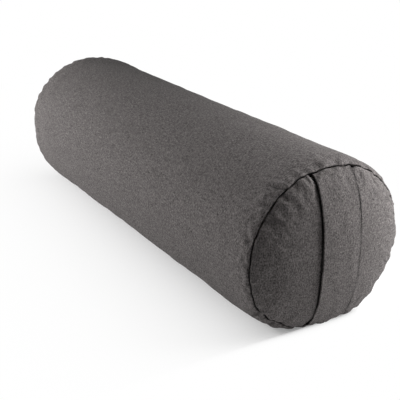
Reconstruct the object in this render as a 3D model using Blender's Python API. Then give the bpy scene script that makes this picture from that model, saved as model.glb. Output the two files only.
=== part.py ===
"""A round yoga bolster, lying on the floor.

A cotton cover (a tube and two domed end panels, with a carry handle across the
front end) closes with a zip along its back. Inside lies a bag of plain cotton,
closed by a shorter zip and filled with grain husks.

Metres, +Z up. X runs along the bolster, the handle is at +X, and the floor is z = 0.
The origin is on the floor, under the middle of the whole part.

Every sewn layer is first shaped as it would be if it weighed nothing, round the
axis of the tube, and the function settle then lets it sink on to the floor.
"""

import math
from dataclasses import dataclass

import bmesh
import bpy
from mathutils import Matrix, Vector

# The cover, as filled
COVER_LENGTH = 0.655  # from seam to seam
TUBE_RADIUS = 0.110  # from the axis up to the top of the tube
SIDE_SPREAD = 0.0025  # the weight spreads either side by this much more
SEAM_DROP = 0.006  # the end seams lie this far within the tube's radius
SHOULDER_LENGTH = 0.0277  # the tube draws in to each seam over this length
DOME_HEIGHT = 0.0268  # from the plane of the seam to the middle of an end panel
DOME_FULLNESS = 2.36  # a higher power makes the middle of the end panel flatter
DOME_ROUNDING = 0.75  # the power with which an end panel turns into its seam

# How the bolster lies on the floor
FLOOR_SINK = 0.0112  # the underside nears a plane this far within the tube's radius
FLOOR_TURN = 24  # a higher power gives a tighter turn up from the floor
FLAT_CUT = 0.0005  # the flat that it rests on is cut this deep
SEAM_LIFT = 0.0028  # the end seams stay this far above that plane

# Cloth and sewing
COVER_CLOTH = 0.0012
BAG_CLOTH = 0.0010
SEWN_GAP = 0.0003  # between two pieces sewn or laid face to face
SEAM_ALLOWANCE = 0.006  # cloth turned inwards beyond a seam
SEAM_ROOM = 0.0035  # between a turned-in allowance and the layer within it
LOOSE_GAP = 0.0004  # between the cover and the bag, and the bag and the husks

# The carry handle across the front end panel
HANDLE_WIDTH = 0.053
HANDLE_THICKNESS = 0.002  # cloth folded double
HANDLE_GAP = 0.0007  # between the handle's ends and the allowances on either side of them
HANDLE_STANDOFF = 0.0054  # from the middle of the end panel to the handle
HANDLE_PULL = 0.0034  # the handle draws the top of the front seam in by this much
HANDLE_PULL_ANGLE = math.radians(18)  # and as far as this to either side of the top
RIM_BAND = 0.023  # the end panel gives way to the handle's ends this near to its seam
RIM_EDGE = 0.006  # and gives way fully this near

# The zips: coil chain of gauge 5, with the same slider body on both
TAPE_WIDTH = 0.014
TAPE_THICKNESS = 0.0008
TAPE_SPLIT = 0.0020  # between the inner edges of the two tapes
TAPE_TAIL = 0.012  # the tapes run on beyond each end of the opening
COIL_HALF_WIDTH = 0.0030
COIL_HEIGHT = 0.0022
COIL_ROOT = 0.0010  # from the chain's middle line to the root of its teeth
TOOTH_PITCH = 0.0042  # each tooth here stands for three turns of the coil
TOOTH_TAPER = 0.40  # how much a tooth narrows over its own length
CHAIN_CLEARANCE = 0.0003  # between meshed teeth, and round the chain in the slider
OPENING_WIDTH = 0.012  # of the gap in the cloth over the chain
COVER_OPENING_LENGTH = 0.440
BAG_OPENING_LENGTH = 0.200
COVER_ZIP_ANGLE = math.radians(20)  # up from the level of the axis, at the back
BAG_ZIP_ANGLE = math.radians(-35)

SLIDER_LENGTH = 0.0115
SLIDER_WIDTHS = (0.0082, 0.0088, 0.0052)  # at its tail, its mouth and the tip of its nose
SLIDER_NOSE_LENGTH = 0.0016
SLIDER_FLANGE = 0.0006
TOP_PLATE = 0.0013
BOTTOM_PLATE = 0.0011
WEDGE_WIDTH = 0.0014  # the post that parts the two rows of teeth
WEDGE_LENGTH = 0.0018
WEDGE_SETBACK = 0.0008  # from the tip of the slider's nose to the post

BRIDGE_WIDTH = 0.0018
BRIDGE_LEG = 0.0012
BRIDGE_ROOM_LENGTH = 0.0020  # inside, along the chain
BRIDGE_ROOM_HEIGHT = 0.0019
BRIDGE_BAR = 0.0010
LOW_BRIDGE_HEIGHT = 0.0012  # of the solid lug on the bag's slider, which has no tab

PULL_LENGTH = 0.022
PULL_WIDTH = 0.0060
PULL_THICKNESS = 0.0012
PULL_EYE_LENGTH = 0.0040
PULL_EYE_WIDTH = 0.0034
PULL_BAR_RADIUS = 0.00055
PULL_HINGE_HEIGHT = 0.0010  # from the slider's top plate to the middle of the hinge bar
PULL_END_RADIUS = 0.0028

STOP_JAW = 0.0007  # thickness of a crimped stop
TOP_STOP_LENGTH = 0.0024
TOP_STOP_REACH = 0.0019  # how far a top stop reaches over its tape
BOTTOM_STOP_LENGTH = 0.0030
BOTTOM_STOP_WIDTH = 0.0066
STOP_SETBACK = 0.0050  # from the ends of the opening to the stops

# Facets: every sewn layer has its corners at the same angles
SEGMENTS = 48
SHOULDER_STEPS = (90, 60, 35, 15)  # degrees round the shoulder's quarter ellipse
DOME_STEPS = (0.98, 0.94, 0.87, 0.76, 0.62, 0.45, 0.25)  # shares of the seam's radius
INNER_SHOULDER_STEP = 55
INNER_DOME_STEPS = (0.74, 0.52, 0.28)

FACET_ANGLE = 2 * math.pi / SEGMENTS
TUBE_HALF_WIDTH = TUBE_RADIUS + SIDE_SPREAD
SEAM_RADIUS = TUBE_RADIUS - SEAM_DROP
FLOOR_DEPTH = TUBE_RADIUS - FLOOR_SINK
END_X = COVER_LENGTH / 2
SHOULDER_X = END_X - SHOULDER_LENGTH
BAG_RADIUS = TUBE_RADIUS - COVER_CLOTH - LOOSE_GAP
FILL_RADIUS = BAG_RADIUS - BAG_CLOTH - LOOSE_GAP


def soft_min(first, second):
    """The lesser of two lengths, rounded off where they are nearly equal."""
    return (first**-FLOOR_TURN + second**-FLOOR_TURN) ** (-1 / FLOOR_TURN)


AXIS_HEIGHT = soft_min(TUBE_RADIUS, FLOOR_DEPTH) - FLAT_CUT
AXIS = Vector((-(HANDLE_STANDOFF + HANDLE_THICKNESS) / 2, 0, AXIS_HEIGHT))


def smooth_step(value):
    """0 below 0, 1 above 1, and a smooth rise between them."""
    value = min(max(value, 0.0), 1.0)
    return value * value * (3 - 2 * value)


# Settling on to the floor


def shoulder_share(x):
    """How much of the tube's full radius the cover has at x: 0 at a seam, 1 beyond the shoulder."""
    along = min(max((abs(x) - SHOULDER_X) / SHOULDER_LENGTH, 0.0), 1.0)
    return math.sqrt(1 - along * along)


def free_radius(angle, radius):
    """Radius of the cover where nothing presses on it, at an angle up from +Y."""
    half_width = radius * TUBE_HALF_WIDTH / TUBE_RADIUS
    return 1 / math.hypot(math.cos(angle) / half_width, math.sin(angle) / radius)


def floored(radius, angle, depth):
    """The radius, shortened where the floor at that depth would press on it."""
    down = -math.sin(angle)
    return soft_min(radius, depth / down) if down > 0.05 else radius


def settle(point):
    """Where a point of a weightless, round layer comes to lie in the settled bolster."""
    x, y, z = point
    y *= TUBE_HALF_WIDTH / TUBE_RADIUS
    if math.hypot(y, z) < 1e-9:
        return Vector((x, y, z))
    angle = math.atan2(z, y)
    tube = free_radius(angle, TUBE_RADIUS)
    seam = free_radius(angle, SEAM_RADIUS)
    settled_tube = floored(tube, angle, FLOOR_DEPTH)
    if angle < 0:
        settled_tube = min(settled_tube, AXIS_HEIGHT / -math.sin(angle))
    off_top = (angle - math.pi / 2) / HANDLE_PULL_ANGLE
    pull = HANDLE_PULL * math.exp(-(off_top**4)) if x > 0 else 0.0
    settled_seam = floored(seam - pull, angle, FLOOR_DEPTH - SEAM_LIFT)
    share = shoulder_share(x)
    before = seam + share * (tube - seam)
    after = settled_seam + share * (settled_tube - settled_seam)
    return Vector((x, y * after / before, z * after / before))


# Profiles, as (x, radius) points in a plane through the axis


def dome_x(share, height):
    """How far an end panel stands beyond its seam's plane, at a share of the seam's radius."""
    return height * (1 - share**DOME_FULLNESS) ** DOME_ROUNDING


def seam_points(x, radius, to_tube, gap=SEWN_GAP):
    """The tip of a turned-in allowance and its seam, half a gap to one side of the seam's plane."""
    shift = gap / 2 / math.sqrt(2) * (1 if to_tube else -1)
    reach = SEAM_ALLOWANCE / math.sqrt(2)
    seam = Vector((x - shift, radius + shift))
    return seam - Vector((reach, reach)), seam


def offset(points, distance):
    """The line moved sideways to its right, with mitred corners."""
    steps = [(b - a).normalized() for a, b in zip(points, points[1:])]
    sides = [Vector((step.y, -step.x)) for step in steps]
    moved = []
    for index, point in enumerate(points):
        before = sides[max(index - 1, 0)]
        after = sides[min(index, len(sides) - 1)]
        moved.append(point + (before + after) * (distance / (1 + before.dot(after))))
    return moved


def flipped(points):
    """The line's mirror image in the plane x = 0, run the other way."""
    return [Vector((-p.x, p.y)) for p in reversed(points)]


def mirrored(points):
    """The line and its mirror image, as one line from -X to +X."""
    return flipped(points) + points


def cover_tube_line():
    """Half of the tube's outer side, from the shoulder to the tip of its allowance."""
    tip, seam = seam_points(END_X, SEAM_RADIUS, to_tube=True)
    rise = TUBE_RADIUS - SEAM_RADIUS
    shoulder = [
        Vector((SHOULDER_X + SHOULDER_LENGTH * math.cos(t), SEAM_RADIUS + rise * math.sin(t)))
        for t in map(math.radians, SHOULDER_STEPS)
    ]
    return [*shoulder, seam, tip]


def cover_end_line():
    """The outer side of the +X end panel, from the tip of its allowance to the axis."""
    tip, seam = seam_points(END_X, SEAM_RADIUS, to_tube=False)
    dome = [
        Vector((END_X + dome_x(share, DOME_HEIGHT), share * SEAM_RADIUS))
        for share in DOME_STEPS
    ]
    return [tip, seam, *dome, Vector((END_X + DOME_HEIGHT, 0))]


@dataclass
class InnerLayer:
    """The outline of the bag or of the husks: a seam or corner, and a line on either side of it."""

    corner: Vector
    shoulder: list
    dome: list

    def within(self, inset, corner_inset):
        """The outline of the next layer in, clear of what is turned in at this one's corner."""
        corner = self.corner - Vector((corner_inset, corner_inset)) / math.sqrt(2)
        middle = Vector((0, self.shoulder[0].y))
        shoulder = offset([middle, *self.shoulder, self.corner], inset)[1:-1]
        dome = offset([self.corner, *self.dome], inset)[1:]
        dome[-1].y = 0
        return InnerLayer(corner, shoulder, dome)


def cover_outline():
    """The cover's outer side, with only the points that the layers inside follow."""
    slope = math.radians(INNER_SHOULDER_STEP)
    rise = TUBE_RADIUS - SEAM_RADIUS
    shoulder = [
        Vector((SHOULDER_X, TUBE_RADIUS)),
        Vector((
            SHOULDER_X + SHOULDER_LENGTH * math.cos(slope),
            SEAM_RADIUS + rise * math.sin(slope),
        )),
    ]
    dome = [
        Vector((END_X + dome_x(share, DOME_HEIGHT), share * SEAM_RADIUS))
        for share in INNER_DOME_STEPS
    ]
    dome.append(Vector((END_X + DOME_HEIGHT, 0)))
    return InnerLayer(Vector((END_X, SEAM_RADIUS)), shoulder, dome)


BAG_OUTLINE = cover_outline().within(COVER_CLOTH + LOOSE_GAP, SEAM_ALLOWANCE + SEAM_ROOM)
FILL_OUTLINE = BAG_OUTLINE.within(BAG_CLOTH + LOOSE_GAP, SEAM_ALLOWANCE + SEAM_ROOM)


# Heights in a zip, above (+) or below (-) the outer side of the cloth over its tapes


@dataclass
class ZipStack:
    """The levels of one zip's layers, in the cloth that it is sewn under."""

    cloth: float

    def __post_init__(self):
        self.tape_top = -self.cloth - SEWN_GAP
        self.tape_bottom = self.tape_top - TAPE_THICKNESS
        self.coil_bottom = self.tape_top + SEWN_GAP
        self.coil_top = self.coil_bottom + COIL_HEIGHT
        self.top_plate = self.coil_top + CHAIN_CLEARANCE
        self.slider_top = self.top_plate + TOP_PLATE
        self.bottom_plate = self.tape_bottom - CHAIN_CLEARANCE
        self.slider_bottom = self.bottom_plate - BOTTOM_PLATE


COVER_STACK = ZipStack(COVER_CLOTH)
BAG_STACK = ZipStack(BAG_CLOTH)

# Lanes: the layers in a zip's way are pressed flat along it, by a depth below their radius
CORNER_DIP = 1 - math.cos(FACET_ANGLE / 2)
UNDER_COVER_ZIP = (
    BAG_RADIUS
    - TUBE_RADIUS * (1 - CORNER_DIP)
    - COVER_STACK.slider_bottom
    + LOOSE_GAP
)
OVER_BAG_ZIP = (
    BAG_RADIUS
    - (TUBE_RADIUS - COVER_CLOTH) * (1 - CORNER_DIP)
    + BAG_STACK.slider_top
    + LOW_BRIDGE_HEIGHT
    + LOOSE_GAP
)
UNDER_BAG_ZIP = OVER_BAG_ZIP + FILL_RADIUS - BAG_RADIUS - BAG_STACK.slider_bottom + LOOSE_GAP
LANE_HALF_LENGTH = max(COVER_OPENING_LENGTH, BAG_OPENING_LENGTH) / 2 + TAPE_TAIL


def facet_middle(angle):
    """The middle of the facet nearest to an angle, so that a zip lies on one flat facet."""
    return (math.floor(angle / FACET_ANGLE) + 0.5) * FACET_ANGLE


def press_lane(point, angle, depth):
    """A point of a round layer, pressed in where a lane runs along the layer at that angle."""
    fade = 1 - smooth_step((abs(point.x) - LANE_HALF_LENGTH) / (SHOULDER_X - LANE_HALF_LENGTH))
    out = Vector((0, math.cos(angle), math.sin(angle)))
    radius = math.hypot(point.y, point.z)
    too_far = point.dot(out) - (radius - depth * fade)
    return point - out * max(too_far, 0.0) if fade > 0 else point


def in_bag(point):
    """A point of the bag, pressed in under the cover's zip and at its own."""
    point = press_lane(point, facet_middle(COVER_ZIP_ANGLE), UNDER_COVER_ZIP)
    return press_lane(point, facet_middle(BAG_ZIP_ANGLE), OVER_BAG_ZIP)


def in_fill(point):
    """A point of the husks, pressed in under both zips."""
    point = press_lane(point, facet_middle(COVER_ZIP_ANGLE), UNDER_COVER_ZIP)
    return press_lane(point, facet_middle(BAG_ZIP_ANGLE), UNDER_BAG_ZIP)


def under_handle(point):
    """A point of the front end panel, whose rim gives way to the ends of the handle."""
    facet = SEAM_RADIUS * FACET_ANGLE
    radius = math.hypot(point.y, point.z)
    across = 1 - smooth_step((abs(point.y) - HANDLE_WIDTH / 2 - facet) / facet)
    near_rim = smooth_step((radius - SEAM_RADIUS + RIM_BAND) / (RIM_BAND - RIM_EDGE))
    give = (HANDLE_THICKNESS + HANDLE_GAP) * math.sqrt(2) * across * near_rim
    share = 1 - give / radius if give > 0 else 1.0
    return Vector((point.x, point.y * share, point.z * share))


# Building meshes


def clear_scene():
    """Removes everything that the file starts with."""
    for obj in list(bpy.data.objects):
        bpy.data.objects.remove(obj, do_unlink=True)


def material(name, colour, roughness, metallic=0.0):
    """A plain Principled material."""
    made = bpy.data.materials.new(name)
    made.use_nodes = True
    made.diffuse_color = (*colour, 1)
    shader = made.node_tree.nodes["Principled BSDF"]
    shader.inputs["Base Color"].default_value = (*colour, 1)
    shader.inputs["Roughness"].default_value = roughness
    shader.inputs["Metallic"].default_value = metallic
    return made


def empty(name, matrix, parent=None):
    """An empty that pieces are placed by."""
    made = bpy.data.objects.new(name, None)
    bpy.context.collection.objects.link(made)
    made.empty_display_size = 0.02
    made.parent = parent
    made.matrix_local = matrix
    return made


def finish(bm, name, dressed_in, parent, at=(0, 0, 0), smooth=True):
    """Turns a bmesh into a named object under its parent."""
    bmesh.ops.recalc_face_normals(bm, faces=bm.faces)
    mesh = bpy.data.meshes.new(name)
    bm.to_mesh(mesh)
    bm.free()
    if smooth:
        mesh.shade_smooth()
        mesh.set_sharp_from_angle(angle=math.radians(35))
    made = bpy.data.objects.new(name, mesh)
    bpy.context.collection.objects.link(made)
    if dressed_in:
        mesh.materials.append(dressed_in)
    made.parent = parent
    made.location = at
    return made


def helper(obj):
    """Hides a solid that only shapes another."""
    obj.hide_render = True
    obj.display_type = "WIRE"
    return obj


def boolean(obj, other, operation):
    """Cuts a helper solid from an object, or joins it on."""
    modifier = obj.modifiers.new(other.name, "BOOLEAN")
    modifier.operation = operation
    modifier.solver = "EXACT"
    modifier.object = helper(other)


def spun(line, closed, *shapings):
    """A layer turned about the axis from a line of (x, radius) points, shaped and settled."""
    bm = bmesh.new()
    verts = [bm.verts.new((p.x, p.y, 0)) for p in line]
    pairs = zip(verts, verts[1:] + verts[:1]) if closed else zip(verts, verts[1:])
    edges = [bm.edges.new(pair) for pair in pairs]
    bmesh.ops.spin(
        bm,
        geom=verts + edges,
        cent=(0, 0, 0),
        axis=(1, 0, 0),
        angle=2 * math.pi,
        steps=SEGMENTS,
        use_merge=True,
    )
    bmesh.ops.remove_doubles(bm, verts=bm.verts, dist=1e-6)
    for vert in bm.verts:
        point = vert.co.copy()
        for shaping in shapings:
            point = shaping(point)
        vert.co = settle(point)
    # Twisted facets fold along their shorter diagonal, so that layers face to face fold alike.
    bmesh.ops.triangulate(bm, faces=bm.faces, quad_method="SHORT_EDGE")
    return bm


def prism(outline, length, plane="XY"):
    """An outline of two-dimensional points, extruded along the third axis."""
    place = {
        "XY": lambda a, b: (a, b, 0),
        "XZ": lambda a, b: (a, 0, b),
        "YZ": lambda a, b: (0, a, b),
    }[plane]
    along = {"XY": (0, 0, length), "XZ": (0, length, 0), "YZ": (length, 0, 0)}[plane]
    bm = bmesh.new()
    face = bm.faces.new([bm.verts.new(place(*point)) for point in outline])
    grown = bmesh.ops.extrude_face_region(bm, geom=[face])
    moved = [item for item in grown["geom"] if isinstance(item, bmesh.types.BMVert)]
    bmesh.ops.translate(bm, vec=along, verts=moved)
    return bm


def box(low, high):
    """A box between two corners."""
    bm = prism([(low[0], low[1]), (high[0], low[1]), (high[0], high[1]), (low[0], high[1])],
               high[2] - low[2])
    bmesh.ops.translate(bm, vec=(0, 0, low[2]), verts=bm.verts)
    return bm


# The cover and the bag


def closed_line(outer, thickness):
    """The outer line of a cloth layer, and back along its inner side."""
    return outer + offset(outer, thickness)[::-1]


def make_cover(cloth, axis):
    """The tube and the two end panels of the cover."""
    tube = spun(closed_line(mirrored(cover_tube_line()), COVER_CLOTH), True)
    tube = finish(tube, "cover_tube", cloth, axis)
    outer = cover_end_line()
    inner = offset(outer, COVER_CLOTH)
    inner[-1].y = 0
    panel = inner[::-1] + outer
    finish(spun(panel, False, under_handle), "cover_end_front", cloth, axis)
    finish(spun(flipped(panel), False), "cover_end_back", cloth, axis)
    return tube


def lane_line(outline, tip_points):
    """Half of an inner layer's tube side, from the end of the zips' lanes outwards."""
    return [Vector((LANE_HALF_LENGTH, outline.shoulder[0].y)), *outline.shoulder, *tip_points]


def make_bag(cloth, axis):
    """The tube and the two ends of the inner bag."""
    corner = BAG_OUTLINE.corner
    tip, seam = seam_points(corner.x, corner.y, to_tube=True)
    tube_line = mirrored(lane_line(BAG_OUTLINE, [seam, tip]))
    tube = finish(spun(closed_line(tube_line, BAG_CLOTH), True, in_bag), "inner_bag_tube", cloth, axis)
    tip, seam = seam_points(corner.x, corner.y, to_tube=False)
    outer = [tip, seam, *BAG_OUTLINE.dome]
    inner = offset(outer, BAG_CLOTH)
    inner[-1].y = 0
    panel = inner[::-1] + outer
    finish(spun(panel, False), "inner_bag_end_front", cloth, axis)
    finish(spun(flipped(panel), False), "inner_bag_end_back", cloth, axis)
    return tube


def make_filling(husks, axis):
    """The loose husks, as one solid that fills the bag."""
    half = lane_line(FILL_OUTLINE, [FILL_OUTLINE.corner, *FILL_OUTLINE.dome])
    finish(spun(mirrored(half), False, in_fill), "husk_filling", husks, axis)


# The carry handle


def seam_height(y):
    """Height of the faceted front seam above the axis, at a place across it, before settling."""
    step = min(int(math.asin(min(abs(y) / SEAM_RADIUS, 1.0)) / FACET_ANGLE), SEGMENTS // 4 - 1)
    near, far = step * FACET_ANGLE, (step + 1) * FACET_ANGLE
    low, high = SEAM_RADIUS * math.sin(near), SEAM_RADIUS * math.sin(far)
    share = (abs(y) - low) / (high - low)
    return SEAM_RADIUS * (math.cos(near) * (1 - share) + math.cos(far) * share)


def handle_line():
    """The handle's outer side in the plane y = 0, from its top allowance down to its bottom one."""
    tip, seam = seam_points(END_X, SEAM_RADIUS, to_tube=False, gap=HANDLE_GAP)
    height = DOME_HEIGHT + HANDLE_STANDOFF + HANDLE_THICKNESS
    upper = [
        Vector((END_X + dome_x(share, height), share * SEAM_RADIUS))
        for share in DOME_STEPS
    ]
    half = [tip, seam, *upper]
    return [*half, Vector((END_X + height, 0)), *(Vector((p.x, -p.y)) for p in reversed(half))]


def make_handle(cloth, axis):
    """The flat band, sewn into the front seam at the top and at the bottom."""
    outer = handle_line()
    line = outer + offset(outer, HANDLE_THICKNESS)[::-1]
    bm = prism([(p.x, p.y) for p in line], HANDLE_WIDTH, plane="XZ")
    bmesh.ops.translate(bm, vec=(0, -HANDLE_WIDTH / 2, 0), verts=bm.verts)
    facets = int(math.asin(HANDLE_WIDTH / 2 / SEAM_RADIUS) / FACET_ANGLE)
    for step in range(-facets, facets + 1):
        bmesh.ops.bisect_plane(
            bm,
            geom=[*bm.verts, *bm.edges, *bm.faces],
            dist=1e-6,
            plane_co=(0, SEAM_RADIUS * math.sin(step * FACET_ANGLE), 0),
            plane_no=(0, 1, 0),
        )
    for vert in bm.verts:
        x, y, z = vert.co
        vert.co = settle(Vector((x, y, z / SEAM_RADIUS * seam_height(y))))
    finish(bm, "carry_handle", cloth, axis)


# The zips


@dataclass
class Zip:
    """One zip, lying along X on a flat facet of the layer that it is sewn under."""

    name: str
    angle: float  # of the facet
    radius: float  # of the outer side of that layer
    lane: float  # how deep that layer is pressed in here
    opening: float
    stack: ZipStack

    def __post_init__(self):
        self.stop_u = self.opening / 2 - STOP_SETBACK
        self.slider_u = self.stop_u - TOP_STOP_LENGTH - CHAIN_CLEARANCE - SLIDER_LENGTH / 2
        self.wedge_end = SLIDER_LENGTH / 2 - WEDGE_SETBACK
        self.chain_end = self.slider_u + self.wedge_end - WEDGE_LENGTH - CHAIN_CLEARANCE
        self.chain_start = -self.stop_u + BOTTOM_STOP_LENGTH + CHAIN_CLEARANCE

    def travel(self):
        """How far the slider runs, from the top stops to the bottom stop."""
        return self.slider_u - SLIDER_LENGTH / 2 - self.chain_start

    def on_layer(self, radius, side):
        """A point on the facets of a layer, so far to one side of the middle of this zip."""
        half = radius * math.sin(FACET_ANGLE / 2)
        out = radius * math.cos(FACET_ANGLE / 2)
        beyond = max(abs(side) - half, 0.0)
        along = side - math.copysign(beyond, side) * (1 - math.cos(FACET_ANGLE))
        out = min(out - beyond * math.sin(FACET_ANGLE), radius - self.lane)
        y = out * math.cos(self.angle) - along * math.sin(self.angle)
        z = out * math.sin(self.angle) + along * math.cos(self.angle)
        return settle(Vector((0, y, z)))

    def frame(self):
        """The zip's own frame, from the bolster's axis: along the chain, down across it, and out."""
        reach = self.radius * math.sin(FACET_ANGLE / 2)
        low, high = self.on_layer(self.radius, -reach), self.on_layer(self.radius, reach)
        down = (low - high).normalized()
        out = Vector((1, 0, 0)).cross(down)
        middle = (low + high) / 2
        turned = Matrix((Vector((1, 0, 0)), down, out)).transposed().to_4x4()
        return Matrix.Translation(middle) @ turned

    def cut_opening(self, tube, line):
        """Cuts the opening over the chain through the cloth."""
        depth = self.stack.cloth * 2
        low = (-self.opening / 2, -OPENING_WIDTH / 2, -depth)
        high = (self.opening / 2, OPENING_WIDTH / 2, depth / 2)
        boolean(tube, finish(box(low, high), f"{self.name}_opening", None, line, smooth=False), "DIFFERENCE")

    def make_tape(self, which, sign, dressed_in, axis):
        """One of the two woven tapes, which follows the facets of the cloth over it."""
        radius = self.radius + self.stack.tape_top
        half_facet = radius * math.sin(FACET_ANGLE / 2)
        sides = [TAPE_SPLIT / 2, half_facet, TAPE_SPLIT / 2 + TAPE_WIDTH]
        top = [self.on_layer(radius, sign * side) for side in sides]
        bottom = [self.on_layer(radius - TAPE_THICKNESS, sign * side) for side in sides]
        length = self.opening + 2 * TAPE_TAIL
        bm = prism([(p.y, p.z) for p in top + bottom[::-1]], length, plane="YZ")
        bmesh.ops.translate(bm, vec=(-length / 2, 0, 0), verts=bm.verts)
        finish(bm, f"{self.name}_tape_{which}", dressed_in, axis, smooth=False)

    def make_coil(self, which, sign, dressed_in, line):
        """One row of the chain's teeth, which reach past the middle line between those of the other."""
        half_gap = CHAIN_CLEARANCE / 2 * math.hypot(1, TOOTH_TAPER / 2)
        head = CHAIN_CLEARANCE - COIL_ROOT
        length = self.chain_end - self.chain_start
        count = int(length / TOOTH_PITCH - 1)
        spare = length - (count + 0.5) * TOOTH_PITCH
        first = self.chain_start + spare / 2 + TOOTH_PITCH * (0.5 if sign > 0 else 1.0)
        outline = [(self.chain_start, COIL_HALF_WIDTH)]
        outline.append((self.chain_start, COIL_ROOT))
        for tooth in range(count):
            middle = first + tooth * TOOTH_PITCH
            for end, side in ((-1, COIL_ROOT), (-1, head), (1, head), (1, COIL_ROOT)):
                half = TOOTH_PITCH / 4 - half_gap + TOOTH_TAPER * side / 2
                outline.append((middle + end * half, side))
        outline.append((self.chain_end, COIL_ROOT))
        outline.append((self.chain_end, COIL_HALF_WIDTH))
        bm = prism([(u, sign * v) for u, v in outline], COIL_HEIGHT)
        bmesh.ops.translate(bm, vec=(0, 0, self.stack.coil_bottom), verts=bm.verts)
        finish(bm, f"{self.name}_coil_{which}", dressed_in, line, smooth=False)

    def make_top_stop(self, which, sign, dressed_in, line):
        """A clip crimped round the inner edge of one tape."""
        gap = SEWN_GAP
        web = TAPE_SPLIT / 2 - gap
        reach = TAPE_SPLIT / 2 + TOP_STOP_REACH
        top, bottom = self.stack.tape_top + gap, self.stack.tape_bottom - gap
        outline = [
            (web - STOP_JAW, bottom - STOP_JAW),
            (reach, bottom - STOP_JAW),
            (reach, bottom),
            (web, bottom),
            (web, top),
            (reach, top),
            (reach, top + STOP_JAW),
            (web - STOP_JAW, top + STOP_JAW),
        ]
        bm = prism([(sign * v, w) for v, w in outline], TOP_STOP_LENGTH, plane="YZ")
        bmesh.ops.translate(bm, vec=(self.stop_u - TOP_STOP_LENGTH, 0, 0), verts=bm.verts)
        finish(bm, f"{self.name}_top_stop_{which}", dressed_in, line, smooth=False)

    def make_bottom_stop(self, dressed_in, line):
        """A clip crimped over both tapes, through the split between them."""
        web = TAPE_SPLIT / 2 - SEWN_GAP
        reach = BOTTOM_STOP_WIDTH / 2
        top, bottom = self.stack.tape_top + SEWN_GAP, self.stack.tape_bottom - SEWN_GAP
        right = [
            (reach, bottom - STOP_JAW),
            (reach, bottom),
            (web, bottom),
            (web, top),
            (reach, top),
            (reach, top + STOP_JAW),
        ]
        outline = right + [(-v, w) for v, w in reversed(right)]
        bm = prism(outline, BOTTOM_STOP_LENGTH, plane="YZ")
        bmesh.ops.translate(bm, vec=(-self.stop_u, 0, 0), verts=bm.verts)
        finish(bm, f"{self.name}_bottom_stop", dressed_in, line, smooth=False)

    def make_slider(self, dressed_in, line, with_bridge):
        """The slider: a channelled top and a bottom plate joined by a wedge, with a bridge or lug."""
        at = (self.slider_u, 0, 0)
        name = f"{self.name}_slider"
        stack = self.stack
        half = SLIDER_LENGTH / 2
        tail, mouth, nose = (width / 2 for width in SLIDER_WIDTHS)
        upper = [(-half, tail), (half - SLIDER_NOSE_LENGTH, mouth), (half, nose)]
        plan = upper + [(u, -v) for u, v in reversed(upper)]
        skirt = stack.tape_top + CHAIN_CLEARANCE
        top = prism(plan, stack.slider_top - skirt)
        bmesh.ops.translate(top, vec=(0, 0, skirt), verts=top.verts)
        slider = finish(top, name, dressed_in, line, at, smooth=False)

        widening = (mouth - tail) / (SLIDER_LENGTH - SLIDER_NOSE_LENGTH)
        sides = [(u, tail - SLIDER_FLANGE + widening * (u + half)) for u in (-2 * half, 2 * half)]
        channel = prism(sides + [(u, -v) for u, v in reversed(sides)], 2 * COIL_HEIGHT)
        bmesh.ops.translate(channel, vec=(0, 0, stack.top_plate - 2 * COIL_HEIGHT), verts=channel.verts)
        boolean(slider, finish(channel, f"{name}_channel", None, line, at, smooth=False), "DIFFERENCE")

        bottom = prism(plan, BOTTOM_PLATE)
        bmesh.ops.translate(bottom, vec=(0, 0, stack.slider_bottom), verts=bottom.verts)
        wedge = box(
            (self.wedge_end - WEDGE_LENGTH, -WEDGE_WIDTH / 2, stack.slider_bottom + BOTTOM_PLATE / 2),
            (self.wedge_end, WEDGE_WIDTH / 2, stack.top_plate + TOP_PLATE / 2),
        )
        inner = BRIDGE_ROOM_LENGTH / 2
        outer = inner + BRIDGE_LEG
        foot = stack.slider_top - TOP_PLATE / 2
        if with_bridge:
            crown = stack.slider_top + BRIDGE_ROOM_HEIGHT
            side = [
                (inner, crown),
                (inner, foot),
                (outer, foot),
                (outer, crown + BRIDGE_BAR / 2),
                (inner, crown + BRIDGE_BAR),
            ]
        else:
            side = [(outer, foot), (inner, stack.slider_top + LOW_BRIDGE_HEIGHT)]
        arch = side + [(-u, w) for u, w in reversed(side)]
        bridge = prism(arch, BRIDGE_WIDTH, plane="XZ")
        bmesh.ops.translate(bridge, vec=(0, -BRIDGE_WIDTH / 2, 0), verts=bridge.verts)
        for part, bm in (("bottom", bottom), ("wedge", wedge), ("bridge", bridge)):
            boolean(slider, finish(bm, f"{name}_{part}", None, line, at, smooth=False), "UNION")

    def make_pull(self, dressed_in, line):
        """The pull tab: a round hinge bar through the bridge, two arms and a flat tongue."""
        at = (self.slider_u, 0, self.stack.slider_top + PULL_HINGE_HEIGHT)
        half, eye = PULL_WIDTH / 2, PULL_EYE_WIDTH / 2
        eye_end = -PULL_BAR_RADIUS - PULL_EYE_LENGTH
        corner = PULL_END_RADIUS
        end = -PULL_LENGTH
        turn = [
            (end + corner * (1 - math.cos(t)), half - corner * (1 - math.sin(t)))
            for t in map(math.radians, (90, 60, 30, 0))
        ]
        side = [(PULL_BAR_RADIUS, eye), (PULL_BAR_RADIUS, half), *turn]
        outline = side + [(u, -v) for u, v in reversed(side)] + [(eye_end, -eye), (eye_end, eye)]
        tongue = prism(outline, PULL_THICKNESS)
        bmesh.ops.translate(tongue, vec=(0, 0, -PULL_THICKNESS / 2), verts=tongue.verts)
        pull = finish(tongue, f"{self.name}_pull", dressed_in, line, at)
        bm = bmesh.new()
        across = Matrix.Rotation(math.pi / 2, 4, "X")
        bmesh.ops.create_cone(
            bm,
            cap_ends=True,
            segments=12,
            radius1=PULL_BAR_RADIUS,
            radius2=PULL_BAR_RADIUS,
            depth=half + eye,
            matrix=across,
        )
        boolean(pull, finish(bm, f"{self.name}_pull_bar", None, line, at), "UNION")


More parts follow.
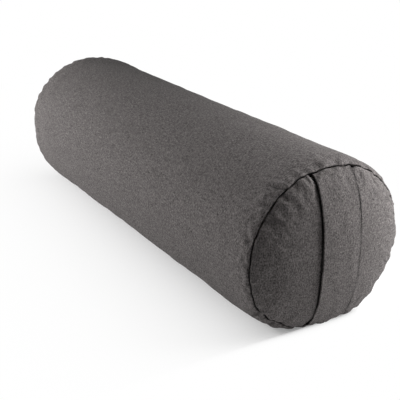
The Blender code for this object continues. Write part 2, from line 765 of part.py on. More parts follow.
def make_zip(zipper, tube, finishes, axis, with_pull):
    """Everything of one zip, sewn under its tube."""
    line = empty(f"{zipper.name}_line", zipper.frame(), axis)
    zipper.cut_opening(tube, line)
    for which, sign in (("upper", -1), ("lower", 1)):
        # Distances along the layers grow upwards, and the zip's own frame points down.
        zipper.make_tape(which, -sign, finishes["tape"], axis)
        zipper.make_coil(which, sign, finishes["coil"], line)
        zipper.make_top_stop(which, sign, finishes["metal"], line)
    zipper.make_bottom_stop(finishes["metal"], line)
    zipper.make_slider(finishes["metal"], line, with_bridge=with_pull)
    if with_pull:
        zipper.make_pull(finishes["metal"], line)


def main():
    """Builds the bolster."""
    clear_scene()
    canvas = material("charcoal_canvas", (0.115, 0.107, 0.103), 0.92)
    calico = material("plain_cotton", (0.72, 0.67, 0.56), 0.93)
    husks = material("grain_husks", (0.50, 0.36, 0.19), 0.95)
    cover_zip_finishes = {
        "tape": material("charcoal_tape", (0.050, 0.047, 0.046), 0.85),
        "coil": material("charcoal_nylon", (0.035, 0.033, 0.032), 0.45),
        "metal": material("dark_zinc", (0.10, 0.10, 0.105), 0.38, 0.9),
    }
    bag_zip_finishes = {
        "tape": material("cream_tape", (0.70, 0.65, 0.55), 0.85),
        "coil": material("cream_nylon", (0.66, 0.61, 0.51), 0.45),
        "metal": material("bright_zinc", (0.60, 0.60, 0.59), 0.32, 0.9),
    }

    axis = empty("bolster_axis", Matrix.Translation(AXIS))
    cover_tube = make_cover(canvas, axis)
    make_handle(canvas, axis)
    bag_tube = make_bag(calico, axis)
    make_filling(husks, axis)

    cover_zip = Zip(
        "cover_zip", facet_middle(COVER_ZIP_ANGLE), TUBE_RADIUS, 0.0, COVER_OPENING_LENGTH, COVER_STACK
    )
    make_zip(cover_zip, cover_tube, cover_zip_finishes, axis, with_pull=True)
    bag_zip = Zip(
        "bag_zip", facet_middle(BAG_ZIP_ANGLE), BAG_RADIUS, OVER_BAG_ZIP, BAG_OPENING_LENGTH, BAG_STACK
    )
    make_zip(bag_zip, bag_tube, bag_zip_finishes, axis, with_pull=False)


main()
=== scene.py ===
"""Looks of a round yoga bolster: its cotton cover with simulated gathers at the seams, handle and zips."""

import logging
import math
from dataclasses import dataclass
from enum import Enum
from typing import Callable, Sequence

import bmesh
import bpy
import numpy as np
from mathutils import Matrix, Vector, noise


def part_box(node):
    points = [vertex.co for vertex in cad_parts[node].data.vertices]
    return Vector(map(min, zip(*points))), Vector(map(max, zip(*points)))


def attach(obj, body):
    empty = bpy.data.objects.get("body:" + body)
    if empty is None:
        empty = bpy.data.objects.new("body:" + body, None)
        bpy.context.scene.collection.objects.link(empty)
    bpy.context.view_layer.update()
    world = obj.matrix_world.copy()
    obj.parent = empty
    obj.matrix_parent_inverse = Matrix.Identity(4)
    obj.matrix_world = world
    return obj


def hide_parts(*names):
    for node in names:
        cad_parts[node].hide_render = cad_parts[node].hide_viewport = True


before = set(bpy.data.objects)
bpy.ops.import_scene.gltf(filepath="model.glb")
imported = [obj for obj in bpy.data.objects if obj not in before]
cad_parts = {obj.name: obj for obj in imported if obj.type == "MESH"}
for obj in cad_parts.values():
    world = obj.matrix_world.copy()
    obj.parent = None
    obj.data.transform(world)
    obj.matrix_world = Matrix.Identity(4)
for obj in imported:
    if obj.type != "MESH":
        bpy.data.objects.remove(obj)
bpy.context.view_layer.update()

LOG = logging.getLogger("bolster")
COVER_ZIP_ANGLE = math.radians(18.75)
BAG_ZIP_ANGLE = math.radians(-33.75)
UV_NAME = "cloth"
WEAR_AND_SHADE_NAME = "wear"
WELD = 1e-6


# Numbers and curves


def smooth_step(value: np.ndarray) -> np.ndarray:
    """0 below 0, 1 above 1, and a smooth rise between them."""
    value = np.clip(value, 0.0, 1.0)
    return value * value * (3 - 2 * value)


def cubic_weights(share: np.ndarray) -> list[np.ndarray]:
    """The four weights of a smooth curve through evenly spaced values.

    Args:
        share: How far each place lies from the second value to the third.

    Returns:
        The weight of each of the four values.
    """
    square = share * share
    cube = square * share
    return [
        (2 * square - cube - share) / 2,
        (3 * cube - 5 * square + 2) / 2,
        (4 * square - 3 * cube + share) / 2,
        (cube - square) / 2,
    ]


def sampled(grid: np.ndarray, row: np.ndarray, column: np.ndarray) -> np.ndarray:
    """Values of a grid between its corners, on a smooth surface; the columns go round.

    Args:
        grid: Rows by columns by components.
        row: Place along the rows, from 0.
        column: Place along the columns, from 0.

    Returns:
        One row of components for each place.
    """
    first_row = np.floor(row).astype(int)
    first_column = np.floor(column).astype(int)
    row_weights = cubic_weights(row - first_row)
    column_weights = cubic_weights(column - first_column)
    total = np.zeros((len(row), grid.shape[2]))
    for step, along in enumerate(row_weights):
        rows = np.clip(first_row + step - 1, 0, grid.shape[0] - 1)
        for turn, around in enumerate(column_weights):
            columns = (first_column + turn - 1) % grid.shape[1]
            total += (along * around)[:, None] * grid[rows, columns]
    return total


@dataclass(frozen=True)
class Waves:
    """A sum of smooth waves round the bolster and along it, with seeded sizes and places."""

    height: float
    shortest: float
    longest: float
    count: int
    seed: int
    along: bool = True

    def at(self, distance: np.ndarray, angle: np.ndarray, radius: float) -> np.ndarray:
        """Heights of the waves.

        Args:
            distance: Place along the cloth.
            angle: Place round the axis, in radians.
            radius: The radius that wavelengths round the axis are measured at.

        Returns:
            The height at each place.
        """
        dice = np.random.default_rng(self.seed)
        total = np.zeros_like(angle)
        for _ in range(self.count):
            length = math.exp(dice.uniform(math.log(self.shortest), math.log(self.longest)))
            heading = dice.uniform(0, math.pi) if self.along else 0.0
            turns = round(2 * math.pi * radius / length * math.cos(heading))
            run = 2 * math.pi / length * math.sin(heading)
            total += np.sin(turns * angle + run * distance + dice.uniform(0, 2 * math.pi))
        return total * self.height * math.sqrt(2 / self.count)


# The resting form


@dataclass(frozen=True)
class Bulge:
    """A soft swelling of the cover, or a dent where its rise is below 0.

    Attributes:
        rise: Its height.
        angle: Of its middle, in degrees up from +Y.
        width: Its half width round the axis, in degrees.
        middle: Of its length, from the middle of the bolster.
        reach: Half its length.
    """

    rise: float
    angle: float
    width: float
    middle: float
    reach: float

    def at(self, x: np.ndarray, angle: np.ndarray) -> np.ndarray:
        """Its height at places along the bolster and round it."""
        turn = (angle - math.radians(self.angle) + math.pi) % (2 * math.pi) - math.pi
        across = turn / math.radians(self.width)
        return self.rise * np.exp(-across * across - ((x - self.middle) / self.reach) ** 4)


@dataclass(frozen=True)
class RestingForm:
    """The cover's sizes, and how its weight settles it on to the floor."""

    length: float = 0.655
    tube_radius: float = 0.110
    side_spread: float = 0.0025
    seam_drop: float = 0.006
    shoulder_length: float = 0.0277
    dome_height: float = 0.0268
    dome_fullness: float = 2.36
    dome_rounding: float = 0.75
    floor_sink: float = 0.0112
    floor_turn: float = 24.0
    flat_cut: float = 0.0005
    seam_lift: float = 0.0052
    handle_pull: float = 0.0034
    handle_pull_angle: float = math.radians(18)
    bulges: tuple[Bulge, ...] = (
        Bulge(0.0030, -143, 22, 0.07, 0.29),
        Bulge(0.0022, 53, 15, -0.305, 0.045),
        Bulge(-0.0016, 53, 15, 0.0, 0.12),
        Bulge(-0.0016, 53, 15, 0.235, 0.05),
        Bulge(-0.0016, -127, 15, -0.05, 0.07),
        Bulge(0.0019, -127, 15, -0.27, 0.035),
        Bulge(-0.0040, 183, 20, -0.3275, 0.05),
        Bulge(0.0020, -127, 15, 0.255, 0.036),
        Bulge(-0.0055, -129, 14, 0.336, 0.0145),
        Bulge(-0.0018, -116, 13, 0.322, 0.028),
        Bulge(-0.0016, -54, 7, 0.3275, 0.030),
        Bulge(-0.0012, -29, 10, 0.3275, 0.030),
        Bulge(0.0018, -88, 10, 0.3275, 0.03),
        Bulge(-0.0016, -42, 22, 0.3275, 0.05),
        Bulge(-0.0016, 45, 32, 0.334, 0.011),
    )
    back_flatness: float = 0.13

    @property
    def end_x(self) -> float:
        """Distance of each end seam from the middle."""
        return self.length / 2

    @property
    def shoulder_x(self) -> float:
        """Where the tube starts to draw in to its end seam."""
        return self.end_x - self.shoulder_length

    @property
    def seam_radius(self) -> float:
        """Radius of the end seams."""
        return self.tube_radius - self.seam_drop

    @property
    def floor_depth(self) -> float:
        """Depth below the axis of the plane that the underside nears."""
        return self.tube_radius - self.floor_sink

    @property
    def axis(self) -> Vector:
        """Middle of the tube, found from the frame's own tube."""
        low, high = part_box("cover_tube")
        return Vector(((low.x + high.x) / 2, 0, high.z - self.tube_radius))

    def soft_min(self, first: np.ndarray, second: np.ndarray) -> np.ndarray:
        """The lesser of two lengths, rounded off where they are nearly equal."""
        power = self.floor_turn
        return (first**-power + second**-power) ** (-1 / power)

    def free_radius(self, angle: np.ndarray, radius: float) -> np.ndarray:
        """Radius where nothing presses on the cover, at an angle up from +Y."""
        half_width = radius * (1 + self.side_spread / self.tube_radius)
        return 1 / np.hypot(np.cos(angle) / half_width, np.sin(angle) / radius)

    def floored(self, radius: np.ndarray, angle: np.ndarray, depth: float) -> np.ndarray:
        """The radius, shortened where the floor at that depth would press on it."""
        down = -np.sin(angle)
        pressed = self.soft_min(radius, depth / np.maximum(down, 0.05))
        return np.where(down > 0.05, pressed, radius)

    def placed(self, points: np.ndarray) -> np.ndarray:
        """Where points of weightless, round layers come to lie in the world.

        Args:
            points: One row of x, y, z for each point, from the middle of the axis.

        Returns:
            The settled points, in the frame of the CAD model.
        """
        axis = self.axis
        x, y, z = points.T
        y = y * (1 + self.side_spread / self.tube_radius)
        angle = np.arctan2(z, y)
        tube = self.free_radius(angle, self.tube_radius)
        seam = self.free_radius(angle, self.seam_radius)
        settled_tube = self.floored(tube, angle, self.floor_depth)
        cut = axis.z / np.maximum(-np.sin(angle), 0.05)
        settled_tube = np.where(angle < 0, np.minimum(settled_tube, cut), settled_tube)
        off_top = (angle - math.pi / 2) / self.handle_pull_angle
        pull = np.where(x > 0, self.handle_pull * np.exp(-(off_top**4)), 0.0)
        settled_seam = self.floored(seam - pull, angle, self.floor_depth - self.seam_lift)
        along = np.clip((np.abs(x) - self.shoulder_x) / self.shoulder_length, 0.0, 1.0)
        share = np.sqrt(1 - along * along)
        before = seam + share * (tube - seam)
        after = settled_seam + share * (settled_tube - settled_seam)
        after += sum(bulge.at(x, angle) for bulge in self.bulges)
        scale = after / before
        x = x - self.back_flatness * np.minimum(x + self.end_x, 0.0)
        world = np.column_stack((x + axis.x, y * scale, z * scale + axis.z))
        world[:, 2] = np.maximum(world[:, 2], 0.0)
        return world


# Lines that the sheets of cloth are turned from


@dataclass
class ClothLine:
    """Points of a sheet's cross-section in a plane through the axis, from the seam outwards.

    Attributes:
        x: Distance of each point from the middle of the bolster.
        radius: Distance of each point from the axis.
        arc: Distance along the cloth from the mouth of the seam, negative within the seam.
        out_x: First part of the outward normal.
        out_radius: Second part of the outward normal.
    """

    x: np.ndarray
    radius: np.ndarray
    arc: np.ndarray
    out_x: np.ndarray
    out_radius: np.ndarray

    @staticmethod
    def through(points: np.ndarray, mouth: int, turn: float) -> "ClothLine":
        """A line through points.

        Args:
            points: One row of x, radius for each point.
            mouth: Index of the point at the mouth of the seam.
            turn: 1 if the outside is to the left of the line, and -1 if it is to the right.

        Returns:
            The line, with its distances and normals.
        """
        steps = np.hypot(*np.diff(points, axis=0).T)
        arc = np.concatenate(([0.0], np.cumsum(steps)))
        ahead = np.gradient(points, axis=0)
        ahead /= np.hypot(*ahead.T)[:, None]
        return ClothLine(
            points[:, 0], points[:, 1], arc - arc[mouth], -turn * ahead[:, 1], turn * ahead[:, 0]
        )

    def picked(self, stations: np.ndarray, depth: float = 0.0) -> "ClothLine":
        """The line at a few distances, moved inwards.

        Args:
            stations: Distances along the cloth from the mouth of the seam.
            depth: How far inwards from this line.

        Returns:
            The new line.
        """
        picks = [
            np.interp(stations, self.arc, values)
            for values in (self.x, self.radius, self.out_x, self.out_radius)
        ]
        x, radius, out_x, out_radius = picks
        length = np.hypot(out_x, out_radius)
        out_x, out_radius = out_x / length, out_radius / length
        return ClothLine(x - depth * out_x, radius - depth * out_radius, stations, out_x, out_radius)

    def turned_back(self) -> "ClothLine":
        """The same line, run the other way."""
        return ClothLine(*(values[::-1] for values in vars(self).values()))

    def close_at_axis(self) -> None:
        """Brings the last point on to the axis, facing straight along it."""
        self.radius[-1] = 0.0
        self.out_radius[-1] = 0.0

    def close_at_axis_first(self) -> None:
        """Brings the first point on to the axis, facing straight along it."""
        self.radius[0] = 0.0
        self.out_x[0] = 1.0
        self.out_radius[0] = 0.0

    def without_first(self) -> "ClothLine":
        """The line without its first point."""
        return ClothLine(*(values[1:] for values in vars(self).values()))

    def mirrored(self) -> "ClothLine":
        """The line at the other end of the bolster."""
        return ClothLine(-self.x, self.radius, self.arc, -self.out_x, self.out_radius)

    @staticmethod
    def joined(lines: Sequence["ClothLine"]) -> "ClothLine":
        """Several lines as one."""
        return ClothLine(*(np.concatenate(parts) for parts in zip(*(vars(line).values() for line in lines))))


@dataclass(frozen=True)
class SewnSeam:
    """The cross-section of an end seam: both sheets roll over and run inwards side by side."""

    roll: float = 0.0026
    gap: float = 0.0010
    allowance: float = 0.0055
    dive: float = math.radians(45)

    def rim(self) -> float:
        """How far each sheet stands off the seam's own point, where it starts to roll over."""
        return self.roll * math.tan(self.dive / 2) + self.gap / math.sqrt(2)


DENSE = 1500


def sleeve_half(form: RestingForm, seam: SewnSeam) -> ClothLine:
    """The outer side of the tube, from the front seam to the middle.

    Args:
        form: The cover's sizes.
        seam: The seam's cross-section.

    Returns:
        The line from the inner end of its seam allowance to the middle of the tube.
    """
    start = form.seam_radius + seam.rim()
    turn = np.linspace(-seam.dive, 0, 40)
    roll = np.column_stack((
        form.end_x - seam.roll + seam.roll * np.cos(turn),
        start + seam.roll * np.sin(turn),
    ))
    tip = roll[0] - seam.allowance * np.array((math.cos(seam.dive), math.sin(seam.dive)))
    quarter = np.linspace(0, math.pi / 2, DENSE)[1:]
    shoulder = np.column_stack((
        form.shoulder_x + form.shoulder_length * np.cos(quarter),
        start + (form.tube_radius - start) * np.sin(quarter),
    ))
    tube = np.array(((form.shoulder_x * 0.99, form.tube_radius), (0.0, form.tube_radius)))
    return ClothLine.through(np.vstack((tip, roll, shoulder, tube)), mouth=1, turn=-1)


def panel_half(form: RestingForm, seam: SewnSeam, height: float) -> ClothLine:
    """The outer side of the front end panel, or of the handle over it.

    Args:
        form: The cover's sizes.
        seam: The seam's cross-section.
        height: How far the middle stands out beyond the plane of the seam.

    Returns:
        The line from the inner end of its seam allowance to the axis.
    """
    rim = seam.rim()
    turn = np.linspace(seam.dive, 0, 40)
    roll = np.column_stack((
        form.end_x + rim - seam.roll * np.sin(turn),
        form.seam_radius - seam.roll + seam.roll * np.cos(turn),
    ))
    tip = roll[0] - seam.allowance * np.array((math.cos(seam.dive), math.sin(seam.dive)))
    share = 1 - np.linspace(0, 1, DENSE)[1:] ** 2
    crown = (1 - share**form.dome_fullness) ** form.dome_rounding
    dome = np.column_stack((
        form.end_x + rim + (height - rim) * crown,
        form.seam_radius * share,
    ))
    return ClothLine.through(np.vstack((tip, roll, dome)), mouth=1, turn=1)


def stations_between(*stretches: tuple[float, float]) -> np.ndarray:
    """Distances along a line, closer together on some stretches than on others.

    Args:
        stretches: For each stretch, the distance at which it ends and the step within it. The first
            gives only the distance at which the stations start.

    Returns:
        The distances, in order.
    """
    places = [np.array([stretches[0][0]])]
    for (start, _), (end, step) in zip(stretches, stretches[1:]):
        count = max(int(round((end - start) / step)), 1)
        places.append(np.linspace(start, end, count + 1)[1:])
    return np.concatenate(places)


# Gathers, folds and lumps


class Panel(Enum):
    """The two kinds of sheet that meet in an end seam."""

    TUBE = 0
    END = 1


@dataclass(frozen=True)
class Fold:
    """One fold or dent in the cloth, starting at or near an end seam."""

    angle: float
    start: float
    length: float
    slant: float
    width: float
    rise: float
    valley: float = 0.7

    def at(self, arc: np.ndarray, angle: np.ndarray, radius: float) -> np.ndarray:
        """Heights of the fold.

        Args:
            arc: Distance from the seam.
            angle: Place round the axis, in radians.
            radius: The radius at which the cloth lies.

        Returns:
            The height at each place, 0 away from the fold.
        """
        round_it = (angle - math.radians(self.angle) + math.pi) % (2 * math.pi) - math.pi
        aside = round_it * radius
        away = arc - self.start
        slant = math.radians(self.slant)
        along = (away * math.cos(slant) + aside * math.sin(slant)) / self.length
        across = (aside * math.cos(slant) - away * math.sin(slant)) / self.width
        fading = smooth_step(along / 0.18 + 0.4) * (1 - smooth_step((along - 0.35) / 0.65))
        ridge = np.exp(-across * across)
        side = np.exp(-(((across - 1.7) / 1.1) ** 2))
        return self.rise * fading * (ridge - self.valley * side)


@dataclass(frozen=True)
class Gathers:
    """Small folds all round a seam, where its thread draws the cloth in."""

    count: int
    rise: float
    seed: int
    length: tuple[float, float] = (0.008, 0.024)
    width: tuple[float, float] = (0.0020, 0.0042)

    def folds(self) -> list[Fold]:
        """The folds, at uneven places round the seam."""
        dice = np.random.default_rng(self.seed)
        made = []
        for number in range(self.count):
            made.append(Fold(
                angle=360 * (number + dice.uniform(-0.4, 0.4)) / self.count,
                start=0.0005,
                length=dice.uniform(*self.length),
                slant=dice.normal(0, 9),
                width=dice.uniform(*self.width),
                rise=self.rise * dice.uniform(-1.0, 1.0),
            ))
        return made


@dataclass
class SeamDraw:
    """How the end seams draw the cloth in, from a cloth simulation of the filled cover."""

    form: RestingForm
    spokes: int = 144
    step: float = 0.0045
    middle_step: float = 0.011
    rows: int = 13
    frames: int = 20
    pressure: float = 6.0
    stiffness: float = 40.0
    bending: float = 0.5
    mass: float = 0.3
    noise: float = 0.0004
    seed: int = 4
    share: float = 0.55
    cap: float = 0.0016
    full_reach: float = 0.022

    def __post_init__(self) -> None:
        """Runs the simulation."""
        shape = (2, 2, self.rows, self.spokes, 2)
        self.grid = np.zeros(shape)
        self.simulate()

    @property
    def rings(self) -> int:
        """How many rings of cloth each end has."""
        return round(self.form.tube_radius / self.step)

    def outline(self) -> list[tuple[float, float]]:
        """Half of the flat-ended cylinder that the cloth is cut to, as (x, radius) points."""
        form = self.form
        reach = self.step * (self.rows + 1)
        count = round((form.end_x - reach) / self.middle_step)
        middle = [((form.end_x - reach) * place / count, form.tube_radius) for place in range(count)]
        near = [
            (form.end_x - self.step * place, form.tube_radius)
            for place in range(self.rows + 1, -1, -1)
        ]
        end = [
            (form.end_x, form.tube_radius * (1 - place / self.rings))
            for place in range(1, self.rings + 1)
        ]
        return middle + near + end

    def cylinder(self) -> bpy.types.Object:
        """The closed cylinder of cloth before it is filled."""
        half = self.outline()
        line = [(-x, radius) for x, radius in reversed(half[1:])] + half
        bm = bmesh.new()
        verts = [bm.verts.new((x, radius, 0)) for x, radius in line]
        edges = [bm.edges.new(pair) for pair in zip(verts, verts[1:])]
        bmesh.ops.spin(
            bm,
            geom=verts + edges,
            cent=(0, 0, 0),
            axis=(1, 0, 0),
            angle=2 * math.pi,
            steps=self.spokes,
            use_merge=True,
        )
        bmesh.ops.remove_doubles(bm, verts=bm.verts, dist=WELD)
        bmesh.ops.recalc_face_normals(bm, faces=bm.faces)
        mesh = bpy.data.meshes.new("filled_cloth")
        bm.to_mesh(mesh)
        bm.free()
        made = bpy.data.objects.new("filled_cloth", mesh)
        bpy.context.scene.collection.objects.link(made)
        return made

    def simulate(self) -> None:
        """Fills the cylinder with air and reads how its seams draw the cloth in."""
        cloth = self.cylinder()
        count = len(cloth.data.vertices)
        rest = vertex_places(cloth.data)
        normals = np.zeros(count * 3)
        cloth.data.vertices.foreach_get("normal", normals)
        uneven = np.random.default_rng(self.seed).normal(0, self.noise, count)
        cloth.data.vertices.foreach_set("co", (rest + normals.reshape(-1, 3) * uneven[:, None]).ravel())
        modifier = cloth.modifiers.new("cloth", "CLOTH")
        settings = modifier.settings
        settings.quality = 5
        settings.mass = self.mass
        settings.tension_stiffness = self.stiffness
        settings.compression_stiffness = self.stiffness
        settings.shear_stiffness = self.stiffness / 3
        settings.bending_stiffness = self.bending
        settings.air_damping = 2
        settings.use_pressure = True
        settings.uniform_pressure_force = self.pressure
        settings.effector_weights.gravity = 0
        modifier.collision_settings.use_collision = False
        modifier.point_cache.frame_start = 1
        modifier.point_cache.frame_end = self.frames
        scene = bpy.context.scene
        for number in range(1, self.frames + 1):
            scene.frame_set(number)
        filled = cloth.evaluated_get(bpy.context.evaluated_depsgraph_get())
        self.read(rest, vertex_places(filled.data))
        mesh = cloth.data
        bpy.data.objects.remove(cloth, do_unlink=True)
        bpy.data.meshes.remove(mesh)
        scene.frame_set(1)

    def read(self, rest: np.ndarray, filled: np.ndarray) -> None:
        """Keeps how far each ring beside a seam departs from a true circle.

        Args:
            rest: The vertices before the simulation.
            filled: The vertices after it.
        """
        form = self.form
        rest_radius = np.hypot(rest[:, 1], rest[:, 2])
        turn = np.arctan2(rest[:, 2], rest[:, 1]) / (2 * math.pi) * self.spokes
        spoke = np.round(turn).astype(int) % self.spokes
        filled_radius = np.hypot(filled[:, 1], filled[:, 2])
        for end, sign in enumerate((-1, 1)):
            along = (form.end_x - sign * rest[:, 0]) / self.step
            inward = (form.tube_radius - rest_radius) / form.tube_radius * self.rings
            for row in range(self.rows):
                rings = {
                    Panel.TUBE: (np.abs(along - row) < 0.1) & (inward < 0.1),
                    Panel.END: (np.abs(along) < 0.1) & (np.abs(inward - row) < 0.15),
                }
                for panel, ring in rings.items():
                    parts = np.column_stack((filled[ring, 0], filled_radius[ring]))
                    parts -= parts.mean(axis=0)
                    self.grid[end, panel.value, row, spoke[ring]] = parts
        size = np.hypot(self.grid[..., 0], self.grid[..., 1])[..., None]
        LOG.info("gathers of the filled cloth reach %.1f mm", size.max() * 1000)
        self.grid *= self.share * np.minimum(1.0, self.cap / np.maximum(size * self.share, 1e-9))

    def at(self, panel: Panel, front: np.ndarray, arc: np.ndarray, angle: np.ndarray) -> np.ndarray:
        """How far the seam draws each point, along the axis and away from it.

        Args:
            panel: The kind of sheet.
            front: Whether each point is nearer to the front seam than to the back one.
            arc: Distance from the seam.
            angle: Place round the axis, in radians.

        Returns:
            One row of (along, outward) for each point.
        """
        row = np.clip(arc / self.step, 0, self.rows - 1.001)
        column = angle / (2 * math.pi) * self.spokes
        reach = self.step * (self.rows - 1)
        fade = 1 - smooth_step((arc - self.full_reach) / (reach - self.full_reach))
        drawn = np.zeros((len(arc), 2))
        for end, chosen in enumerate((~front, front)):
            grid = self.grid[end, panel.value]
            drawn[chosen] = sampled(grid, row[chosen], column[chosen])
        return drawn * fade[:, None]


# Meshes


def vertex_places(mesh: bpy.types.Mesh) -> np.ndarray:
    """The mesh's vertices, as one row of x, y, z for each."""
    places = np.zeros(len(mesh.vertices) * 3)
    mesh.vertices.foreach_get("co", places)
    return places.reshape(-1, 3)


def new_mesh(bm: bmesh.types.BMesh, name: str) -> bpy.types.Mesh:
    """A mesh made from a bmesh, which is freed."""
    mesh = bpy.data.meshes.new(name)
    bm.to_mesh(mesh)
    bm.free()
    return mesh


def new_piece(mesh: bpy.types.Mesh, material: bpy.types.Material) -> bpy.types.Object:
    """An object at the origin that shows a mesh in one material.

    Args:
        mesh: The mesh, with its place in its vertices.
        material: What it is dressed in.

    Returns:
        The object, linked to the scene.
    """
    mesh.materials.clear()
    mesh.materials.append(material)
    made = bpy.data.objects.new(mesh.name, mesh)
    bpy.context.scene.collection.objects.link(made)
    return made


def bent_grid(
    name: str,
    rows: int,
    columns: int,
    bend: Callable[[np.ndarray, np.ndarray], tuple[np.ndarray, np.ndarray, np.ndarray]],
) -> bpy.types.Mesh:
    """A flat grid bent into a closed skin, welded where its edges meet.

    Args:
        name: The mesh's name.
        rows: Number of steps along the grid.
        columns: Number of steps across it.
        bend: Takes the row and column of each vertex, and gives its place, its place on the flat
        cloth in metres, and how worn it is, below 0 where shade is painted on.

    Returns:
        The welded mesh, smooth, with its flat cloth as a UV map and its rubbing and painted shade as an attribute.
    """
    bm = bmesh.new()
    bmesh.ops.create_grid(bm, x_segments=rows, y_segments=columns, size=0.5)
    mesh = new_mesh(bm, name)
    flat = vertex_places(mesh)
    row = np.round((flat[:, 0] + 0.5) * rows).astype(int)
    column = np.round((flat[:, 1] + 0.5) * columns).astype(int)
    places, cloth, wear = bend(row, column)
    mesh.vertices.foreach_set("co", places.ravel())
    corners = np.zeros(len(mesh.loops), int)
    mesh.loops.foreach_get("vertex_index", corners)
    uv = mesh.uv_layers.new(name=UV_NAME)
    uv.data.foreach_set("uv", cloth[corners].ravel())
    marked = mesh.attributes.new(WEAR_AND_SHADE_NAME, "FLOAT", "POINT")
    marked.data.foreach_set("value", wear)
    bm = bmesh.new()
    bm.from_mesh(mesh)
    bpy.data.meshes.remove(mesh)
    bmesh.ops.remove_doubles(bm, verts=bm.verts, dist=WELD)
    bmesh.ops.dissolve_degenerate(bm, edges=bm.edges, dist=WELD)
    edges = [edge for edge in bm.edges if edge.is_boundary]
    if edges:
        bmesh.ops.holes_fill(bm, edges=edges, sides=0)
    bmesh.ops.recalc_face_normals(bm, faces=bm.faces)
    mesh = new_mesh(bm, name)
    mesh.shade_smooth()
    return mesh


def wire_mesh(centre: np.ndarray, aside: np.ndarray, radius: float, sides: int) -> bpy.types.Mesh:
    """A round wire along a line.

    Args:
        centre: The points that it follows.
        aside: A direction at each point that isn't along the line.
        radius: Of the wire.
        sides: How many sides it has.

    Returns:
        The wire's closed mesh, with its length and girth as a UV map.
    """
    ahead = np.gradient(centre, axis=0)
    ahead /= np.linalg.norm(ahead, axis=1)[:, None]
    aside = aside - ahead * (aside * ahead).sum(axis=1)[:, None]
    aside /= np.linalg.norm(aside, axis=1)[:, None]
    third = np.cross(ahead, aside)
    way = np.concatenate(([0.0], np.cumsum(np.linalg.norm(np.diff(centre, axis=0), axis=1))))

    def bend(row: np.ndarray, column: np.ndarray) -> tuple:
        """Wraps the grid round the line."""
        turn = 2 * math.pi * (column % sides) / sides
        round_it = np.cos(turn)[:, None] * aside[row] + np.sin(turn)[:, None] * third[row]
        flat = np.column_stack((way[row], 2 * math.pi * column / sides * radius))
        return centre[row] + radius * round_it, flat, np.zeros(len(row))

    return bent_grid("wire", len(centre) - 1, sides, bend)


def joined_mesh(name: str, parts: Sequence[bpy.types.Mesh]) -> bpy.types.Mesh:
    """Several meshes as one, which takes their place."""
    bm = bmesh.new()
    for part in parts:
        bm.from_mesh(part)
        bpy.data.meshes.remove(part)
    mesh = new_mesh(bm, name)
    mesh.shade_smooth()
    return mesh


# Materials


class Shade:
    """Adds nodes to a tree with short calls."""

    def __init__(self, tree: bpy.types.NodeTree) -> None:
        """Starts on a node tree."""
        self.tree = tree

    def link(self, source: object, socket: bpy.types.NodeSocket) -> None:
        """Feeds a socket from another one, or gives it a plain value."""
        if isinstance(source, bpy.types.NodeSocket):
            self.tree.links.new(source, socket)
        else:
            socket.default_value = source

    def node(
        self, kind: str, inputs: dict[str | int, object] | None = None, **settings: object
    ) -> bpy.types.Node:
        """A new node.

        Args:
            kind: The node's type.
            inputs: What feeds its sockets, by name or number.
            settings: Its other properties.

        Returns:
            The node.
        """
        made = self.tree.nodes.new(kind)
        for name, value in settings.items():
            setattr(made, name, value)
        for key, value in (inputs or {}).items():
            self.link(value, made.inputs[key])
        return made

    def math(self, operation: str, *values: object) -> bpy.types.NodeSocket:
        """The result of a Math node."""
        return self.node("ShaderNodeMath", dict(enumerate(values)), operation=operation).outputs[0]

    def mix(self, share: object, first: object, second: object) -> bpy.types.NodeSocket:
        """Two colours mixed."""
        made = self.node("ShaderNodeMix", None, data_type="RGBA")
        colours = [socket for socket in made.inputs if socket.type == "RGBA"]
        self.link(share, made.inputs[0])
        self.link(first, colours[0])
        self.link(second, colours[1])
        return made.outputs[2]

    def scaled(self, colour: object, by: object) -> bpy.types.NodeSocket:
        """A colour made darker or lighter by a factor."""
        made = self.node("ShaderNodeVectorMath", {0: colour}, operation="SCALE")
        self.link(by, made.inputs["Scale"])
        return made.outputs[0]

    def noise(
        self, vector: object, scale: float, detail: float = 2.0, roughness: float = 0.5
    ) -> bpy.types.NodeSocket:
        """A noise pattern, from 0 to 1."""
        made = self.node(
            "ShaderNodeTexNoise",
            {"Vector": vector, "Scale": scale, "Detail": detail, "Roughness": roughness},
        )
        return made.outputs[0]

    def vector(self, x: object, y: object, z: object = 0.0) -> bpy.types.NodeSocket:
        """A vector from its three parts."""
        return self.node("ShaderNodeCombineXYZ", {0: x, 1: y, 2: z}).outputs[0]


def shader_group(name: str, inputs: dict[str, tuple[str, object]], outputs: dict[str, str]) -> tuple:
    """A new node group with its sockets.

    Args:
        name: The group's name.
        inputs: For each input, its socket type and its value.
        outputs: For each output, its socket type.

    Returns:
        The group, a Shade on it, its input sockets and its output node.
    """
    tree = bpy.data.node_groups.new(name, "ShaderNodeTree")
    for label, (kind, value) in inputs.items():
        socket = tree.interface.new_socket(name=label, in_out="INPUT", socket_type=kind)
        if value is not None:
            socket.default_value = value
    for label, kind in outputs.items():
        tree.interface.new_socket(name=label, in_out="OUTPUT", socket_type=kind)
    shade = Shade(tree)
    entry = shade.node("NodeGroupInput").outputs
    exit_node = shade.node("NodeGroupOutput")
    return tree, shade, entry, exit_node


YARN_DRIFT = 0.0070
FLECK_SIZE = (0.0013, 0.0025)
FLOAT = "NodeSocketFloat"
COLOUR = "NodeSocketColor"
VECTOR = "NodeSocketVector"


